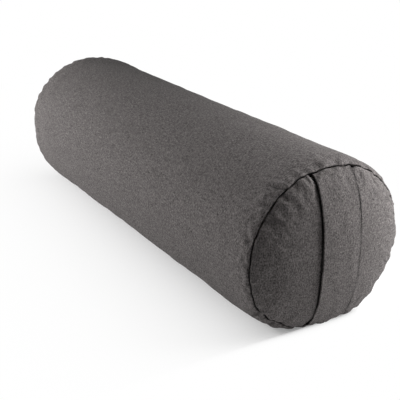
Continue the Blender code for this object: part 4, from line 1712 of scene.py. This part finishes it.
@dataclass
class Cover:
    """The tube of canvas and its two domed end panels, gathered at their seams."""

    form: RestingForm
    seam: SewnSeam
    draw: SeamDraw
    zip_line: ZipLine
    hems: Hems
    canvas: bpy.types.Material
    names: LayerNames = CANVAS_NAMES
    thickness: float = 0.0012
    spokes: int = 440
    calm_angles: tuple[float, ...] = (COVER_ZIP_ANGLE,)
    calm_length: float = 0.440
    calm_width: float = 0.012
    calm_fade: float = 0.020
    handle_width: float = 0.053
    handle_give: float = 0.0038
    handle_margin: float = 0.0012
    handle_fade: float = 0.006
    rim_band: float = 0.023
    rim_edge: float = 0.006
    lumps: Waves = Waves(height=0.00028, shortest=0.028, longest=0.09, count=26, seed=7)
    wander: Waves = Waves(height=0.00032, shortest=0.011, longest=0.034, count=12, seed=21, along=False)
    bulges: Waves = Waves(height=0.00040, shortest=0.014, longest=0.026, count=10, seed=33, along=False)
    end_calm: float = 0.45
    end_gathers: float = 0.6
    wander_reach: float = 0.007
    bulge_place: float = 0.006
    bulge_reach: float = 0.008
    # painted shadows: dark lines on the front panel along the handle's edges, where the gap under it lies in shade
    # (place, half width, depth)
    handle_shades: tuple[tuple[float, float, float], ...] = (
        (-0.0260, 0.0016, 2.2),
        (0.0280, 0.0016, 2.0),
    )
    rubbed_arc: float = 0.0030
    rubbed_width: float = 0.0014
    # shade_width and seam_shade: painted shade, darkening the cloth in the seam crease where it lies in shadow
    shade_width: float = 0.0025
    full_fold: float = 0.0015
    seam_shade: float = 2.0

    gather_count: int = 44
    gather_rise: float = 0.00055
    tube_folds: tuple[Fold, ...] = (
        Fold(angle=123.0, start=0.0, length=0.036, slant=12, width=0.0023, rise=0.0026, valley=0.9),
        Fold(angle=138.0, start=0.001, length=0.022, slant=14, width=0.0040, rise=-0.0026, valley=0.4),
        Fold(angle=163.0, start=0.002, length=0.022, slant=-25, width=0.0042, rise=-0.0022, valley=0.3),
        Fold(angle=191.6, start=0.0, length=0.026, slant=-14, width=0.0024, rise=0.0018),
        Fold(angle=212.0, start=0.001, length=0.034, slant=38, width=0.0022, rise=-0.0030, valley=0.2),
        Fold(angle=226.5, start=0.001, length=0.030, slant=33, width=0.0022, rise=-0.0026, valley=0.1),
    )
    end_folds: tuple[Fold, ...] = (
        Fold(angle=109.5, start=0.0, length=0.020, slant=-8, width=0.0028, rise=0.0016, valley=0.9),
    )

    @property
    def seam_angle(self) -> float:
        """Where the tube's long seam lies, with the zip in it."""
        return self.zip_line.angle

    @property
    def round_radius(self) -> float:
        """The radius that lumps are measured at, the same for each layer so that they stay parallel."""
        return self.form.tube_radius

    def settled(self, points: np.ndarray) -> np.ndarray:
        """Where points of this layer come to lie in the world."""
        return self.form.placed(points)

    def calm(self, x: np.ndarray, angle: np.ndarray) -> np.ndarray:
        """0 beside the zips, which hold the cloth even, and 1 away from them."""
        share = np.ones_like(angle)
        beyond = smooth_step((np.abs(x) - self.calm_length / 2) / self.calm_fade)
        for middle in self.calm_angles:
            turn = (angle - middle + math.pi) % (2 * math.pi) - math.pi
            aside = np.abs(turn) * self.round_radius
            share *= np.maximum(smooth_step((aside - self.calm_width) / self.calm_fade), beyond)
        return share

    def hem(self, x: np.ndarray, angle: np.ndarray) -> np.ndarray:
        """Height of the turned hems beside the zip's opening, and of the tube's long seam beyond it.

        Args:
            x: Distance of each point from the middle of the bolster.
            angle: Place round the axis, in radians.

        Returns:
            The height at each place, below 0 in a groove.
        """
        hems = self.hems
        turn = (angle - self.seam_angle + math.pi) % (2 * math.pi) - math.pi
        aside = np.abs(turn) * self.form.tube_radius
        beyond = (np.abs(x) - hems.length / 2) / hems.fade
        beside = 1 - smooth_step(beyond)
        padded = 1 - smooth_step((aside - hems.allowance) / hems.fade)
        sewn = np.exp(-(((aside - hems.stitch_aside) / hems.groove_width) ** 2))
        seam = np.exp(-((aside / hems.groove_width) ** 2)) * smooth_step(beyond)
        return beside * (hems.padding * padded - hems.groove * sewn) - hems.seam_groove * seam

    def on_tube(self, x: np.ndarray, angle: np.ndarray, lift: np.ndarray) -> np.ndarray:
        """Places in the world at a height over the tube's outer side, away from its shoulders."""
        outer = sleeve_half(self.form, self.seam)
        line = outer.picked(outer.arc[-1] - np.abs(x))
        side = np.where(x < 0, -1.0, 1.0)
        line = ClothLine(line.x * side, line.radius + lift, line.arc, line.out_x * side, line.out_radius)
        return self.shaped(Panel.TUBE, line, np.arange(len(x)), angle)[0]

    def angles(self, start: float, finer: Sequence[float] = ()) -> np.ndarray:
        """Angles of the spokes round a sheet.

        Args:
            start: The first angle, where the sheet's edges are joined.
            finer: Further angles beyond the first, used to both sides of it.

        Returns:
            The angles, in order, over a full turn.
        """
        even = np.linspace(0, 2 * math.pi, self.spokes + 1)
        extra = np.array([*finer, *(2 * math.pi - angle for angle in finer)])
        return start + np.unique(np.concatenate((even, extra)))

    def seam_shift(self, panel: Panel, front: np.ndarray, near: np.ndarray, angle: np.ndarray) -> np.ndarray:
        """How far the seams carry the cloth beside them, along the axis and away from it.

        Args:
            panel: The kind of sheet.
            front: Whether each point is nearer to the front seam than to the back one.
            near: Distance from the seam.
            angle: Place round the axis, in radians.

        Returns:
            One row of (along, outward) for each point.
        """
        drawn = self.draw.at(panel, front, near, angle)
        place = angle + np.where(front, 0.0, 2.1)
        hold = 1 - smooth_step(near / self.wander_reach)
        drawn[:, 0] += hold * self.wander.at(near, place, self.form.seam_radius)
        drawn[:, 1] += hold * self.wander.at(near, -place, self.form.seam_radius)
        return drawn

    def shaped(self, panel: Panel, line: ClothLine, row: np.ndarray, angle: np.ndarray) -> tuple:
        """Places of a sheet's vertices, gathered and folded at the seams and settled.

        Args:
            panel: The kind of sheet.
            line: The sheet's cross-section.
            row: Which point of the line each vertex belongs to.
            angle: Place of each vertex round the axis, in radians.

        Returns:
            The places in the world, and the height of the folds at each.
        """
        x, radius, arc = line.x[row], line.radius[row], line.arc[row]
        out_x, out_radius = line.out_x[row], line.out_radius[row]
        front = x > 0
        near = np.maximum(arc, 0)
        drawn = self.seam_shift(panel, front, near, angle)
        tube_radius = self.round_radius
        if panel is Panel.TUBE:
            lumps = self.lumps.at(x, angle, tube_radius) * self.calm(x, angle)
        else:
            lumps = self.lumps.at(radius * np.cos(angle), radius * np.sin(angle) / tube_radius, tube_radius)
            lumps *= self.end_calm
        height = lumps * smooth_step(near / 0.03)
        if panel is Panel.TUBE:
            height += self.hem(x, angle) * smooth_step(near / 0.004)
        folds = np.zeros_like(height)
        own = self.tube_folds if panel is Panel.TUBE else self.end_folds
        ends = ((front, 0), (~front, 1))
        for chosen, end in ends:
            seed = 3 + 2 * end + 10 * panel.value
            rise = self.gather_rise * (self.end_gathers if panel is Panel.END else 1.0)
            gathers = Gathers(self.gather_count, rise, seed).folds()
            for fold in (*gathers, *(own if end == 0 else ())):
                folds[chosen] += fold.at(near[chosen], angle[chosen], self.form.seam_radius)
            place = angle[chosen] + 2.1 * end + panel.value
            bulge = self.bulges.at(near[chosen], place, self.form.seam_radius)
            swell = np.exp(-(((near[chosen] - self.bulge_place) / self.bulge_reach) ** 2))
            height[chosen] += bulge * swell * smooth_step(near[chosen] / 0.003)
        folds *= smooth_step(near / 0.0022)
        height += folds
        x = x + drawn[:, 0] + height * out_x
        radius = radius + drawn[:, 1] + height * out_radius
        points = np.column_stack((x, radius * np.cos(angle), radius * np.sin(angle)))
        if panel is Panel.END:
            points = self.under_handle(points)
        return self.settled(points), folds

    def under_handle(self, points: np.ndarray) -> np.ndarray:
        """Points of the front end panel, whose rim gives way to the ends of the handle."""
        x, y, z = points.T
        radius = np.hypot(y, z)
        edge = self.handle_width / 2 + self.handle_margin
        across = 1 - smooth_step((np.abs(y) - edge) / self.handle_fade)
        span = self.rim_band - self.rim_edge
        near_rim = smooth_step((radius - self.form.seam_radius + self.rim_band) / span)
        give = np.where(x > 0, self.handle_give * across * near_rim, 0.0)
        share = 1 - give / np.maximum(radius, 1e-6)
        return np.column_stack((x, y * share, z * share))

    def wear(self, arc: np.ndarray, folds: np.ndarray) -> np.ndarray:
        """How rubbed the cloth is, a little on the rolled edges and on folds, with painted shade darkening the seams.
        """
        edge = np.exp(-(((arc - self.rubbed_arc) / self.rubbed_width) ** 2))
        unfaded = 1 - smooth_step(arc / self.shade_width)
        # below 0 is painted shade in and beside the seam crease
        return 0.20 * edge + np.clip(folds / self.full_fold, 0, 1) * 0.4 - self.seam_shade * unfaded

    def tube(self) -> bpy.types.Object:
        """The tube, a closed sheet with an outer and an inner side."""
        outer = sleeve_half(self.form, self.seam)
        middle = outer.arc[-1]
        outer_half = outer.picked(stations_between(
            (outer.arc[0], 0), (0, 0.003), (0.0022, 0.0005), (0.042, 0.0014), (0.070, 0.0028), (middle, 0.009),
        ))
        inner_half = outer.picked(
            stations_between((outer.arc[0], 0), (0, 0.006), (0.05, 0.005), (middle, 0.018)), self.thickness
        )
        line = ClothLine.joined([
            outer_half,
            outer_half.mirrored().turned_back().without_first(),
            inner_half.mirrored(),
            inner_half.turned_back().without_first(),
        ])
        fine = np.concatenate(((0.0004, 0.0008), self.hems.columns()))
        angles = self.angles(self.seam_angle, fine / self.form.tube_radius)
        rows = len(line.x)

        def bend(row: np.ndarray, column: np.ndarray) -> tuple:
            """Wraps the grid round the bolster."""
            row = row % rows
            angle = angles[column]
            places, folds = self.shaped(Panel.TUBE, line, row, angle)
            cloth = np.column_stack((line.x[row], angle * self.form.tube_radius))
            rubbed = self.hems.rubbed(line.x[row], (angle - self.seam_angle) * self.form.tube_radius)
            return places, cloth, self.wear(line.arc[row], folds) + rubbed

        mesh = bent_grid(self.names.tube, rows, len(angles) - 1, bend)
        cut_opening(mesh, self.zip_line, self.hems.width)
        return self.fitted(new_piece(mesh, self.canvas), self.names.tube_node)

    def fitted(self, piece: bpy.types.Object, node: str) -> bpy.types.Object:
        """A piece that rides on the cover in place of its CAD node."""
        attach(piece, "cover")
        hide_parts(node)
        return piece

    def end_panel(self, name: str, node: str, front: bool) -> bpy.types.Object:
        """One end panel.

        Args:
            name: The piece's name.
            node: The CAD node that it stands for.
            front: Whether it is the one with the handle.

        Returns:
            The panel, a closed sheet with an outer and an inner side.
        """
        outer = panel_half(self.form, self.seam, self.form.dome_height)
        middle = outer.arc[-1]
        outer_line = outer.picked(stations_between(
            (outer.arc[0], 0), (0, 0.003), (0.0022, 0.0005), (0.036, 0.0014), (0.060, 0.0020), (middle, 0.0022),
        ))
        inner_line = outer.picked(
            stations_between((outer.arc[0], 0), (0, 0.006), (0.05, 0.005), (middle, 0.015)), self.thickness
        )
        outer_line.close_at_axis()
        inner_line.close_at_axis()
        line = ClothLine.joined([inner_line.turned_back(), outer_line])
        if not front:
            line = line.mirrored()
        angles = self.angles(math.pi / 2)
        rows = len(line.x)

        def bend(row: np.ndarray, column: np.ndarray) -> tuple:
            """Turns the grid about the axis."""
            angle = angles[column]
            places, folds = self.shaped(Panel.END, line, row, angle)
            flat = middle - line.arc[row]
            cloth = np.column_stack((flat * np.cos(angle), flat * np.sin(angle)))
            wear = self.wear(line.arc[row], folds)
            across = line.radius[row] * np.cos(angle)
            # painted shadow beside each edge of the handle
            for place, width, depth in self.handle_shades if front else ():
                wear -= depth * np.exp(-(((across - place) / width) ** 4))
            return places, cloth, wear

        mesh = bent_grid(name, rows - 1, len(angles) - 1, bend)
        return self.fitted(new_piece(mesh, self.canvas), node)

    def build(self) -> None:
        """Builds the tube and both ends."""
        report(self.tube())
        report(self.end_panel(self.names.front, self.names.front_node, front=True))
        report(self.end_panel(self.names.back, self.names.back_node, front=False))


@dataclass
class InnerBag(Cover):
    """The cotton bag inside the cover, sewn the same way and pressed in along both zips."""

    names: LayerNames = COTTON_NAMES
    thickness: float = 0.0010
    spokes: int = 240
    gather_count: int = 30
    gather_rise: float = 0.0004
    tube_folds: tuple[Fold, ...] = ()
    end_folds: tuple[Fold, ...] = ()
    rest: RestingForm = RestingForm()
    lanes: tuple[Lane, ...] = (Lane(COVER_ZIP_ANGLE, 0.00274), Lane(BAG_ZIP_ANGLE, 0.004233))

    @property
    def round_radius(self) -> float:
        """The cover's radius, so that the lumps of both layers match."""
        return self.rest.tube_radius

    def settled(self, points: np.ndarray) -> np.ndarray:
        """Where points of this layer come to lie in the world."""
        for lane in self.lanes:
            points = lane.pressed(points)
        return self.rest.placed(points)


@dataclass
class HuskFilling:
    """The loose husks, as one grainy body that fills the bag.

    Attributes:
        bag: The bag that it fills.
        husks: The material.
        inset: From the bag's outer side to the husks.
        corner_inset: From the bag's seams to the corners of the husks, along and across the axis.
        flake: Size of one husk.
        relief: How far the husks' gaps go in.
        columns: Steps round the axis.
        step: Step along the cross-section.
        lanes: Where the zips press it flat.
    """

    bag: InnerBag
    husks: bpy.types.Material
    inset: float = 0.0014
    corner_inset: float = 0.0067
    flake: float = 0.0052
    relief: float = 0.0011
    columns: int = 288
    step: float = 0.0026
    lanes: tuple[Lane, ...] = (Lane(COVER_ZIP_ANGLE, 0.00274), Lane(BAG_ZIP_ANGLE, 0.006733))

    def line(self) -> ClothLine:
        """Its cross-section, from the middle of one end to the middle of the other."""
        form = self.bag.form
        radius = form.tube_radius - self.inset
        corner = np.array((form.end_x - self.corner_inset, form.seam_radius - self.corner_inset))
        turn = np.linspace(0, math.pi / 2, 60)
        shoulder = np.column_stack((
            form.shoulder_x + (corner[0] - form.shoulder_x) * np.cos(turn),
            corner[1] + (radius - corner[1]) * np.sin(turn),
        ))
        share = np.linspace(0, 1, 400)[:-1]
        height = form.end_x + form.dome_height - self.inset - corner[0]
        crown = (1 - share**form.dome_fullness) ** form.dome_rounding
        dome = np.column_stack((corner[0] + height * crown, corner[1] * share))
        half = np.vstack((dome, shoulder, ((0.0, radius),)))
        line = ClothLine.through(half, mouth=0, turn=-1)
        count = round(line.arc[-1] / self.step)
        line = line.picked(np.linspace(0, line.arc[-1], count + 1))
        line.close_at_axis_first()
        return ClothLine.joined([line, line.mirrored().turned_back().without_first()])

    def grain(self, points: np.ndarray) -> np.ndarray:
        """How far in each point lies among the husks, from 0 on one to 1 between them."""
        scale = Vector((1.0, 1.0, 1.0)) / self.flake
        depths = [noise.voronoi(Vector(point) * scale)[0][0] for point in points]
        return np.minimum(np.array(depths), 1.0)

    def build(self) -> None:
        """Builds the husks as one closed body."""
        line = self.line()
        rows = len(line.x)

        def bend(row: np.ndarray, column: np.ndarray) -> tuple:
            """Turns the grid about the axis."""
            angle = 2 * math.pi * (column % self.columns) / self.columns
            x, radius = line.x[row], line.radius[row]
            around = self.bag.rest.tube_radius
            lumps = self.bag.lumps.at(x, angle, around) * self.bag.calm(x, angle)
            radius = radius + lumps * smooth_step((radius - 0.098) / 0.008)
            points = np.column_stack((x, radius * np.cos(angle), radius * np.sin(angle)))
            inwards = np.column_stack((
                line.out_x[row], line.out_radius[row] * np.cos(angle), line.out_radius[row] * np.sin(angle),
            ))
            depth = self.grain(points)
            for lane in self.lanes:
                points = lane.pressed(points)
            points = points - inwards * (depth * self.relief)[:, None]
            return self.bag.rest.placed(points), np.zeros((len(x), 2)), depth

        mesh = bent_grid("husk_bed", rows - 1, self.columns, bend)
        made = new_piece(mesh, self.husks)
        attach(made, "cover")
        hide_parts("husk_filling")
        report(made)


@dataclass
class CarryHandle:
    """The flat band of canvas, folded double, sewn into the front seam at the top and the bottom."""

    cover: Cover
    canvas: bpy.types.Material
    width: float = 0.053
    thickness: float = 0.0020
    standoff: float = 0.0016
    edge_swell: float = 0.0002
    edge_band: float = 0.002
    edge_sags: tuple[float, float] = (0.0004, 0.0014)
    sag_start: float = 0.014
    sag_full: float = 0.040
    hold_reach: float = 0.018
    across_step: float = 0.0016
    waves: Waves = Waves(height=0.00022, shortest=0.020, longest=0.060, count=14, seed=12)
    puckers: Waves = Waves(height=0.00028, shortest=0.007, longest=0.016, count=12, seed=5)
    pucker_reach: float = 0.022

    def section(self) -> np.ndarray:
        """The band's cross-section, as (across, out) points round it."""
        half = self.width / 2
        thick = self.thickness / 2
        count = round((self.width - self.thickness) / self.across_step)
        face = np.linspace(-half + thick, half - thick, count + 1)
        turn = np.linspace(math.pi / 2, -math.pi / 2, 7)[1:-1]
        edge = np.column_stack((half - thick + thick * np.cos(turn), thick * np.sin(turn)))
        outer = np.column_stack((face, np.full_like(face, thick)))
        return np.vstack((outer, edge, -outer, -edge))

    def line(self) -> ClothLine:
        """The band's middle line, from its top allowance down to its bottom one."""
        form = self.cover.form
        outer = panel_half(form, self.cover.seam, form.dome_height + self.standoff + self.thickness)
        upper = outer.picked(
            stations_between((outer.arc[0], 0), (0, 0.003), (0.0022, 0.0005), (0.030, 0.0012), (outer.arc[-1], 0.0028)),
            self.thickness / 2,
        )
        upper.close_at_axis()
        lower = upper.turned_back().without_first()
        lower = ClothLine(lower.x, -lower.radius, lower.arc, lower.out_x, -lower.out_radius)
        return ClothLine.joined([upper, lower])

    def band(self) -> bpy.types.Object:
        """The band as one closed piece."""
        form = self.cover.form
        line = self.line()
        section = self.section()
        lengths = np.hypot(*np.diff(np.vstack((section, section[:1])), axis=0).T)
        round_it = np.concatenate(([0.0], np.cumsum(lengths)))
        down = np.concatenate(([0.0], np.cumsum(np.hypot(np.diff(line.x), np.diff(line.radius)))))

        def bend(row: np.ndarray, column: np.ndarray) -> tuple:
            """Lays the grid along the band and round its cross-section."""
            across, out = section[column % len(section)].T
            arc = line.arc[row]
            near = np.maximum(arc, 0)
            to_edge = self.width / 2 - np.abs(across)
            swell = 1 + self.edge_swell / self.thickness * np.exp(-((to_edge / self.edge_band) ** 2))
            way = down[row]
            free = smooth_step(near / 0.004)
            wave = self.waves.at(way, across / form.seam_radius, form.seam_radius) * smooth_step(near / 0.03)
            pucker = self.puckers.at(way, across / form.seam_radius, form.seam_radius)
            fade = free * np.exp(-((near / self.pucker_reach) ** 2))
            sag = np.where(across < 0, *self.edge_sags) * (2 * across / self.width) ** 2
            sag *= smooth_step((near - self.sag_start) / (self.sag_full - self.sag_start))
            lift = out * swell + wave + pucker * fade - sag
            height = np.sqrt(form.seam_radius**2 - across**2) / form.seam_radius
            x = line.x[row] + lift * line.out_x[row]
            z = (line.radius[row] + lift * line.out_radius[row]) * height
            angle = np.arctan2(z, across)
            shift = self.cover.seam_shift(Panel.END, x > 0, near, angle)
            shift *= (1 - smooth_step(near / self.hold_reach))[:, None]
            radius = np.hypot(z, across) + shift[:, 1]
            points = np.column_stack((x + shift[:, 0], radius * np.cos(angle), radius * np.sin(angle)))
            # a lighter left edge, partly rubbed and partly a painted highlight, and a painted shadow line along the
            # right edge
            wear = np.exp(-((to_edge / 0.0014) ** 2)) * np.where(across < 0, 0.8, -1.6)
            # painted shade on the lower half of the left side face, in the gap under the band
            wear -= 1.8 * np.where((across < 0) & (to_edge < self.thickness / 2) & (out < 0.0003), 1.0, 0.0)
            cloth = np.column_stack((round_it[column], way))
            return form.placed(points), cloth, wear

        mesh = bent_grid("canvas_handle", len(line.x) - 1, len(section), bend)
        made = new_piece(mesh, self.canvas)
        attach(made, "cover")
        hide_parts("carry_handle")
        return made


# Floor, light and camera


@dataclass(frozen=True)
class SoftLight:
    """A large soft light, aimed at the bolster."""

    name: str
    azimuth: float
    elevation: float
    distance: float
    size: float
    power: float
    aim: tuple[float, float, float] = (0.0, 0.0, 0.09)

    def placed(self) -> bpy.types.Object:
        """The light, in the scene. An azimuth of 0 is towards +Y, and 90 towards +X."""
        data = bpy.data.lights.new(self.name, "AREA")
        data.shape = "DISK"
        data.size = self.size
        data.energy = self.power
        made = bpy.data.objects.new(self.name, data)
        bpy.context.scene.collection.objects.link(made)
        azimuth, elevation = math.radians(self.azimuth), math.radians(self.elevation)
        away = Vector((
            math.sin(azimuth) * math.cos(elevation),
            math.cos(azimuth) * math.cos(elevation),
            math.sin(elevation),
        ))
        made.location = Vector(self.aim) + away * self.distance
        made.rotation_euler = away.to_track_quat("Z", "Y").to_euler()
        return made


@dataclass(frozen=True)
class Studio:
    """A white floor that fades into white, with soft lights round it."""

    floor_size: float = 12.0
    floor_drop: float = 0.0004
    floor_colour: float = 0.80
    floor_glow: float = 0.22
    shadow_length: float = 0.319
    shadow_width: float = 0.053
    shadow_fade: float = 0.062
    front_steepness: float = 15.0
    world_light: float = 0.09
    lights: tuple[SoftLight, ...] = (
        SoftLight("low_right_softbox", 22, 15, 0.55, 0.4, 3.5, (0.33, 0.0, 0.1)),
        SoftLight("high_right_softbox", 20, 50, 0.55, 0.4, 3.8, (0.33, 0.0, 0.1)),
        SoftLight("left_softbox", 222, 12, 2.0, 1.2, 41.0),
        SoftLight("far_end_softbox", 215, 15, 0.9, 0.6, 4.7, (-0.33, 0.0, 0.1)),
    )

    def floor_material(self) -> bpy.types.Material:
        """White that keeps the shadow close to the bolster and is plain white farther away."""
        material = bpy.data.materials.new("white_floor")
        material.use_nodes = True
        tree = material.node_tree
        tree.nodes.clear()
        shade = Shade(tree)
        place = shade.node("ShaderNodeTexCoord").outputs["Object"]
        parts = shade.node("ShaderNodeSeparateXYZ", {0: place}).outputs
        aside = shade.math("SUBTRACT", shade.math("ABSOLUTE", parts[1]), self.shadow_width)
        behind = shade.math("SUBTRACT", shade.math("MULTIPLY", parts[0], -1.0), self.shadow_length)
        corner = shade.vector(shade.math("MAXIMUM", behind, 0.0), shade.math("MAXIMUM", aside, 0.0))
        distance = shade.node("ShaderNodeVectorMath", {0: corner}, operation="LENGTH").outputs["Value"]
        front = shade.math("MAXIMUM", shade.math("SUBTRACT", parts[0], self.shadow_length), 0.0)
        away = shade.math("MULTIPLY_ADD", front, self.front_steepness, distance)
        kept = shade.math("EXPONENT", shade.math("DIVIDE", away, -self.shadow_fade))
        far = shade.math("SUBTRACT", 1.0, kept)
        rays = shade.node("ShaderNodeLightPath").outputs
        seen = shade.math("MAXIMUM", rays["Is Camera Ray"], rays["Is Glossy Ray"])
        seen = shade.math("MAXIMUM", seen, rays["Is Transmission Ray"])
        white = (self.floor_colour,) * 3 + (1,)
        matt = shade.node("ShaderNodeBsdfDiffuse", {"Color": white}).outputs[0]
        glow = shade.node("ShaderNodeEmission", {"Color": (1, 1, 1, 1)})
        shade.link(shade.math("MULTIPLY", seen, self.floor_glow), glow.inputs["Strength"])
        lit = shade.node("ShaderNodeAddShader", {0: matt, 1: glow.outputs[0]}).outputs[0]
        plain = shade.node("ShaderNodeEmission", {"Color": (1, 1, 1, 1), "Strength": 1.0}).outputs[0]
        share = shade.math("MULTIPLY", far, seen)
        mixed = shade.node("ShaderNodeMixShader", {0: share, 1: lit, 2: plain}).outputs[0]
        shade.node("ShaderNodeOutputMaterial", {"Surface": mixed})
        return material

    def floor(self) -> bpy.types.Object:
        """The floor, just below the bolster."""
        bm = bmesh.new()
        bmesh.ops.create_grid(bm, x_segments=1, y_segments=1, size=self.floor_size / 2)
        bmesh.ops.translate(bm, vec=(0, 0, -self.floor_drop), verts=bm.verts)
        made = new_piece(new_mesh(bm, "studio_floor"), self.floor_material())
        return made

    def world(self) -> None:
        """A pale surround that shows as white to the camera."""
        world = bpy.data.worlds.new("studio_world")
        bpy.context.scene.world = world
        world.use_nodes = True
        tree = world.node_tree
        tree.nodes.clear()
        shade = Shade(tree)
        rays = shade.node("ShaderNodeLightPath").outputs
        seen = shade.math("MAXIMUM", rays["Is Camera Ray"], rays["Is Glossy Ray"])
        seen = shade.math("MAXIMUM", seen, rays["Is Transmission Ray"])
        strength = shade.math("MULTIPLY_ADD", seen, 1.0 - self.world_light, self.world_light)
        back = shade.node("ShaderNodeBackground", {"Color": (1, 1, 1, 1), "Strength": strength})
        shade.node("ShaderNodeOutputWorld", {"Surface": back.outputs[0]})

    def build(self) -> None:
        """Sets up the floor, the surround and the lights."""
        self.floor()
        self.world()
        for light in self.lights:
            light.placed()
        bpy.context.scene.view_settings.view_transform = "Standard"


@dataclass(frozen=True)
class PhotoCamera:
    """The photograph's point of view, found by fitting the bolster's outline and front seam."""

    azimuth: float = 58.69
    elevation: float = 21.15
    roll: float = -0.33
    distance: float = 1.216
    target: tuple[float, float, float] = (0.0424, 0.0, 0.0657)
    lens: float = 76.09
    sensor: float = 36.0

    def build(self) -> bpy.types.Object:
        """The camera, made the scene's own."""
        azimuth, elevation, roll = map(math.radians, (self.azimuth, self.elevation, self.roll))
        back = Vector((
            math.sin(azimuth) * math.cos(elevation),
            -math.cos(azimuth) * math.cos(elevation),
            math.sin(elevation),
        ))
        level = Vector((math.cos(azimuth), math.sin(azimuth), 0))
        upright = back.cross(level)
        right = level * math.cos(roll) - upright * math.sin(roll)
        up = level * math.sin(roll) + upright * math.cos(roll)
        data = bpy.data.cameras.new("photo_camera")
        data.lens = self.lens
        data.sensor_width = self.sensor
        data.clip_start = 0.01
        made = bpy.data.objects.new("photo_camera", data)
        bpy.context.scene.collection.objects.link(made)
        turned = Matrix((right, up, back)).transposed().to_4x4()
        made.matrix_world = Matrix.Translation(Vector(self.target) + back * self.distance) @ turned
        bpy.context.scene.camera = made
        return made


def report(piece: bpy.types.Object) -> None:
    """Logs a piece that has been built."""
    LOG.info("%s: %d faces", piece.name, len(piece.data.polygons))


def main() -> None:
    """Builds the bolster and the studio round it."""
    logging.basicConfig(level=logging.INFO, format="%(name)s: %(message)s")
    PhotoCamera().build()
    Studio().build()
    weave, strands, plating = plain_weave_group(), twisted_strand_group(), rubbed_plating_group()
    canvas = CHARCOAL_CANVAS.made(weave)
    form = RestingForm()
    draw = SeamDraw(form)
    cover_zip = ZipLine(form, "cover_zip", COVER_ZIP_ANGLE, form.tube_radius, cloth=0.0012, opening=0.440)
    cover = Cover(form, SewnSeam(), draw, cover_zip, Hems(0.440), canvas)
    cover.build()
    report(CarryHandle(cover, canvas).band())
    report(topstitching("canvas_stitches", cover, CHARCOAL_THREAD.made(strands)))
    cover_finishes = {
        "tape": CHARCOAL_TAPE.made(weave),
        "coil": CHARCOAL_NYLON.made(strands),
        "metal": DARK_ZINC.made(plating),
    }
    bodies = {"slider": "cover_zip_slider", "pull": "cover_zip_pull"}
    CoilZip(cover_zip, bodies, cover_finishes, "cover").build()
    bag_form = RestingForm(
        length=0.6416, tube_radius=0.1084, seam_drop=0.0111, shoulder_length=0.0210, dome_height=0.0319,
    )
    bag_zip = ZipLine(
        form, "bag_zip", BAG_ZIP_ANGLE, bag_form.tube_radius, cloth=0.0010, opening=0.200, pressed=0.004233,
    )
    bag = InnerBag(bag_form, SewnSeam(), draw, bag_zip, Hems(0.200), PLAIN_COTTON.made(weave))
    bag.build()
    report(topstitching("cotton_bag_stitches", bag, CREAM_THREAD.made(strands)))
    bag_finishes = {
        "tape": CREAM_TAPE.made(weave),
        "coil": CREAM_NYLON.made(strands),
        "metal": BRIGHT_ZINC.made(plating),
    }
    CoilZip(bag_zip, {"slider": "bag_zip_slider"}, bag_finishes, "cotton_bag").build()
    HuskFilling(bag, GRAIN_HUSKS.made()).build()


if __name__ == "__main__":
    main()
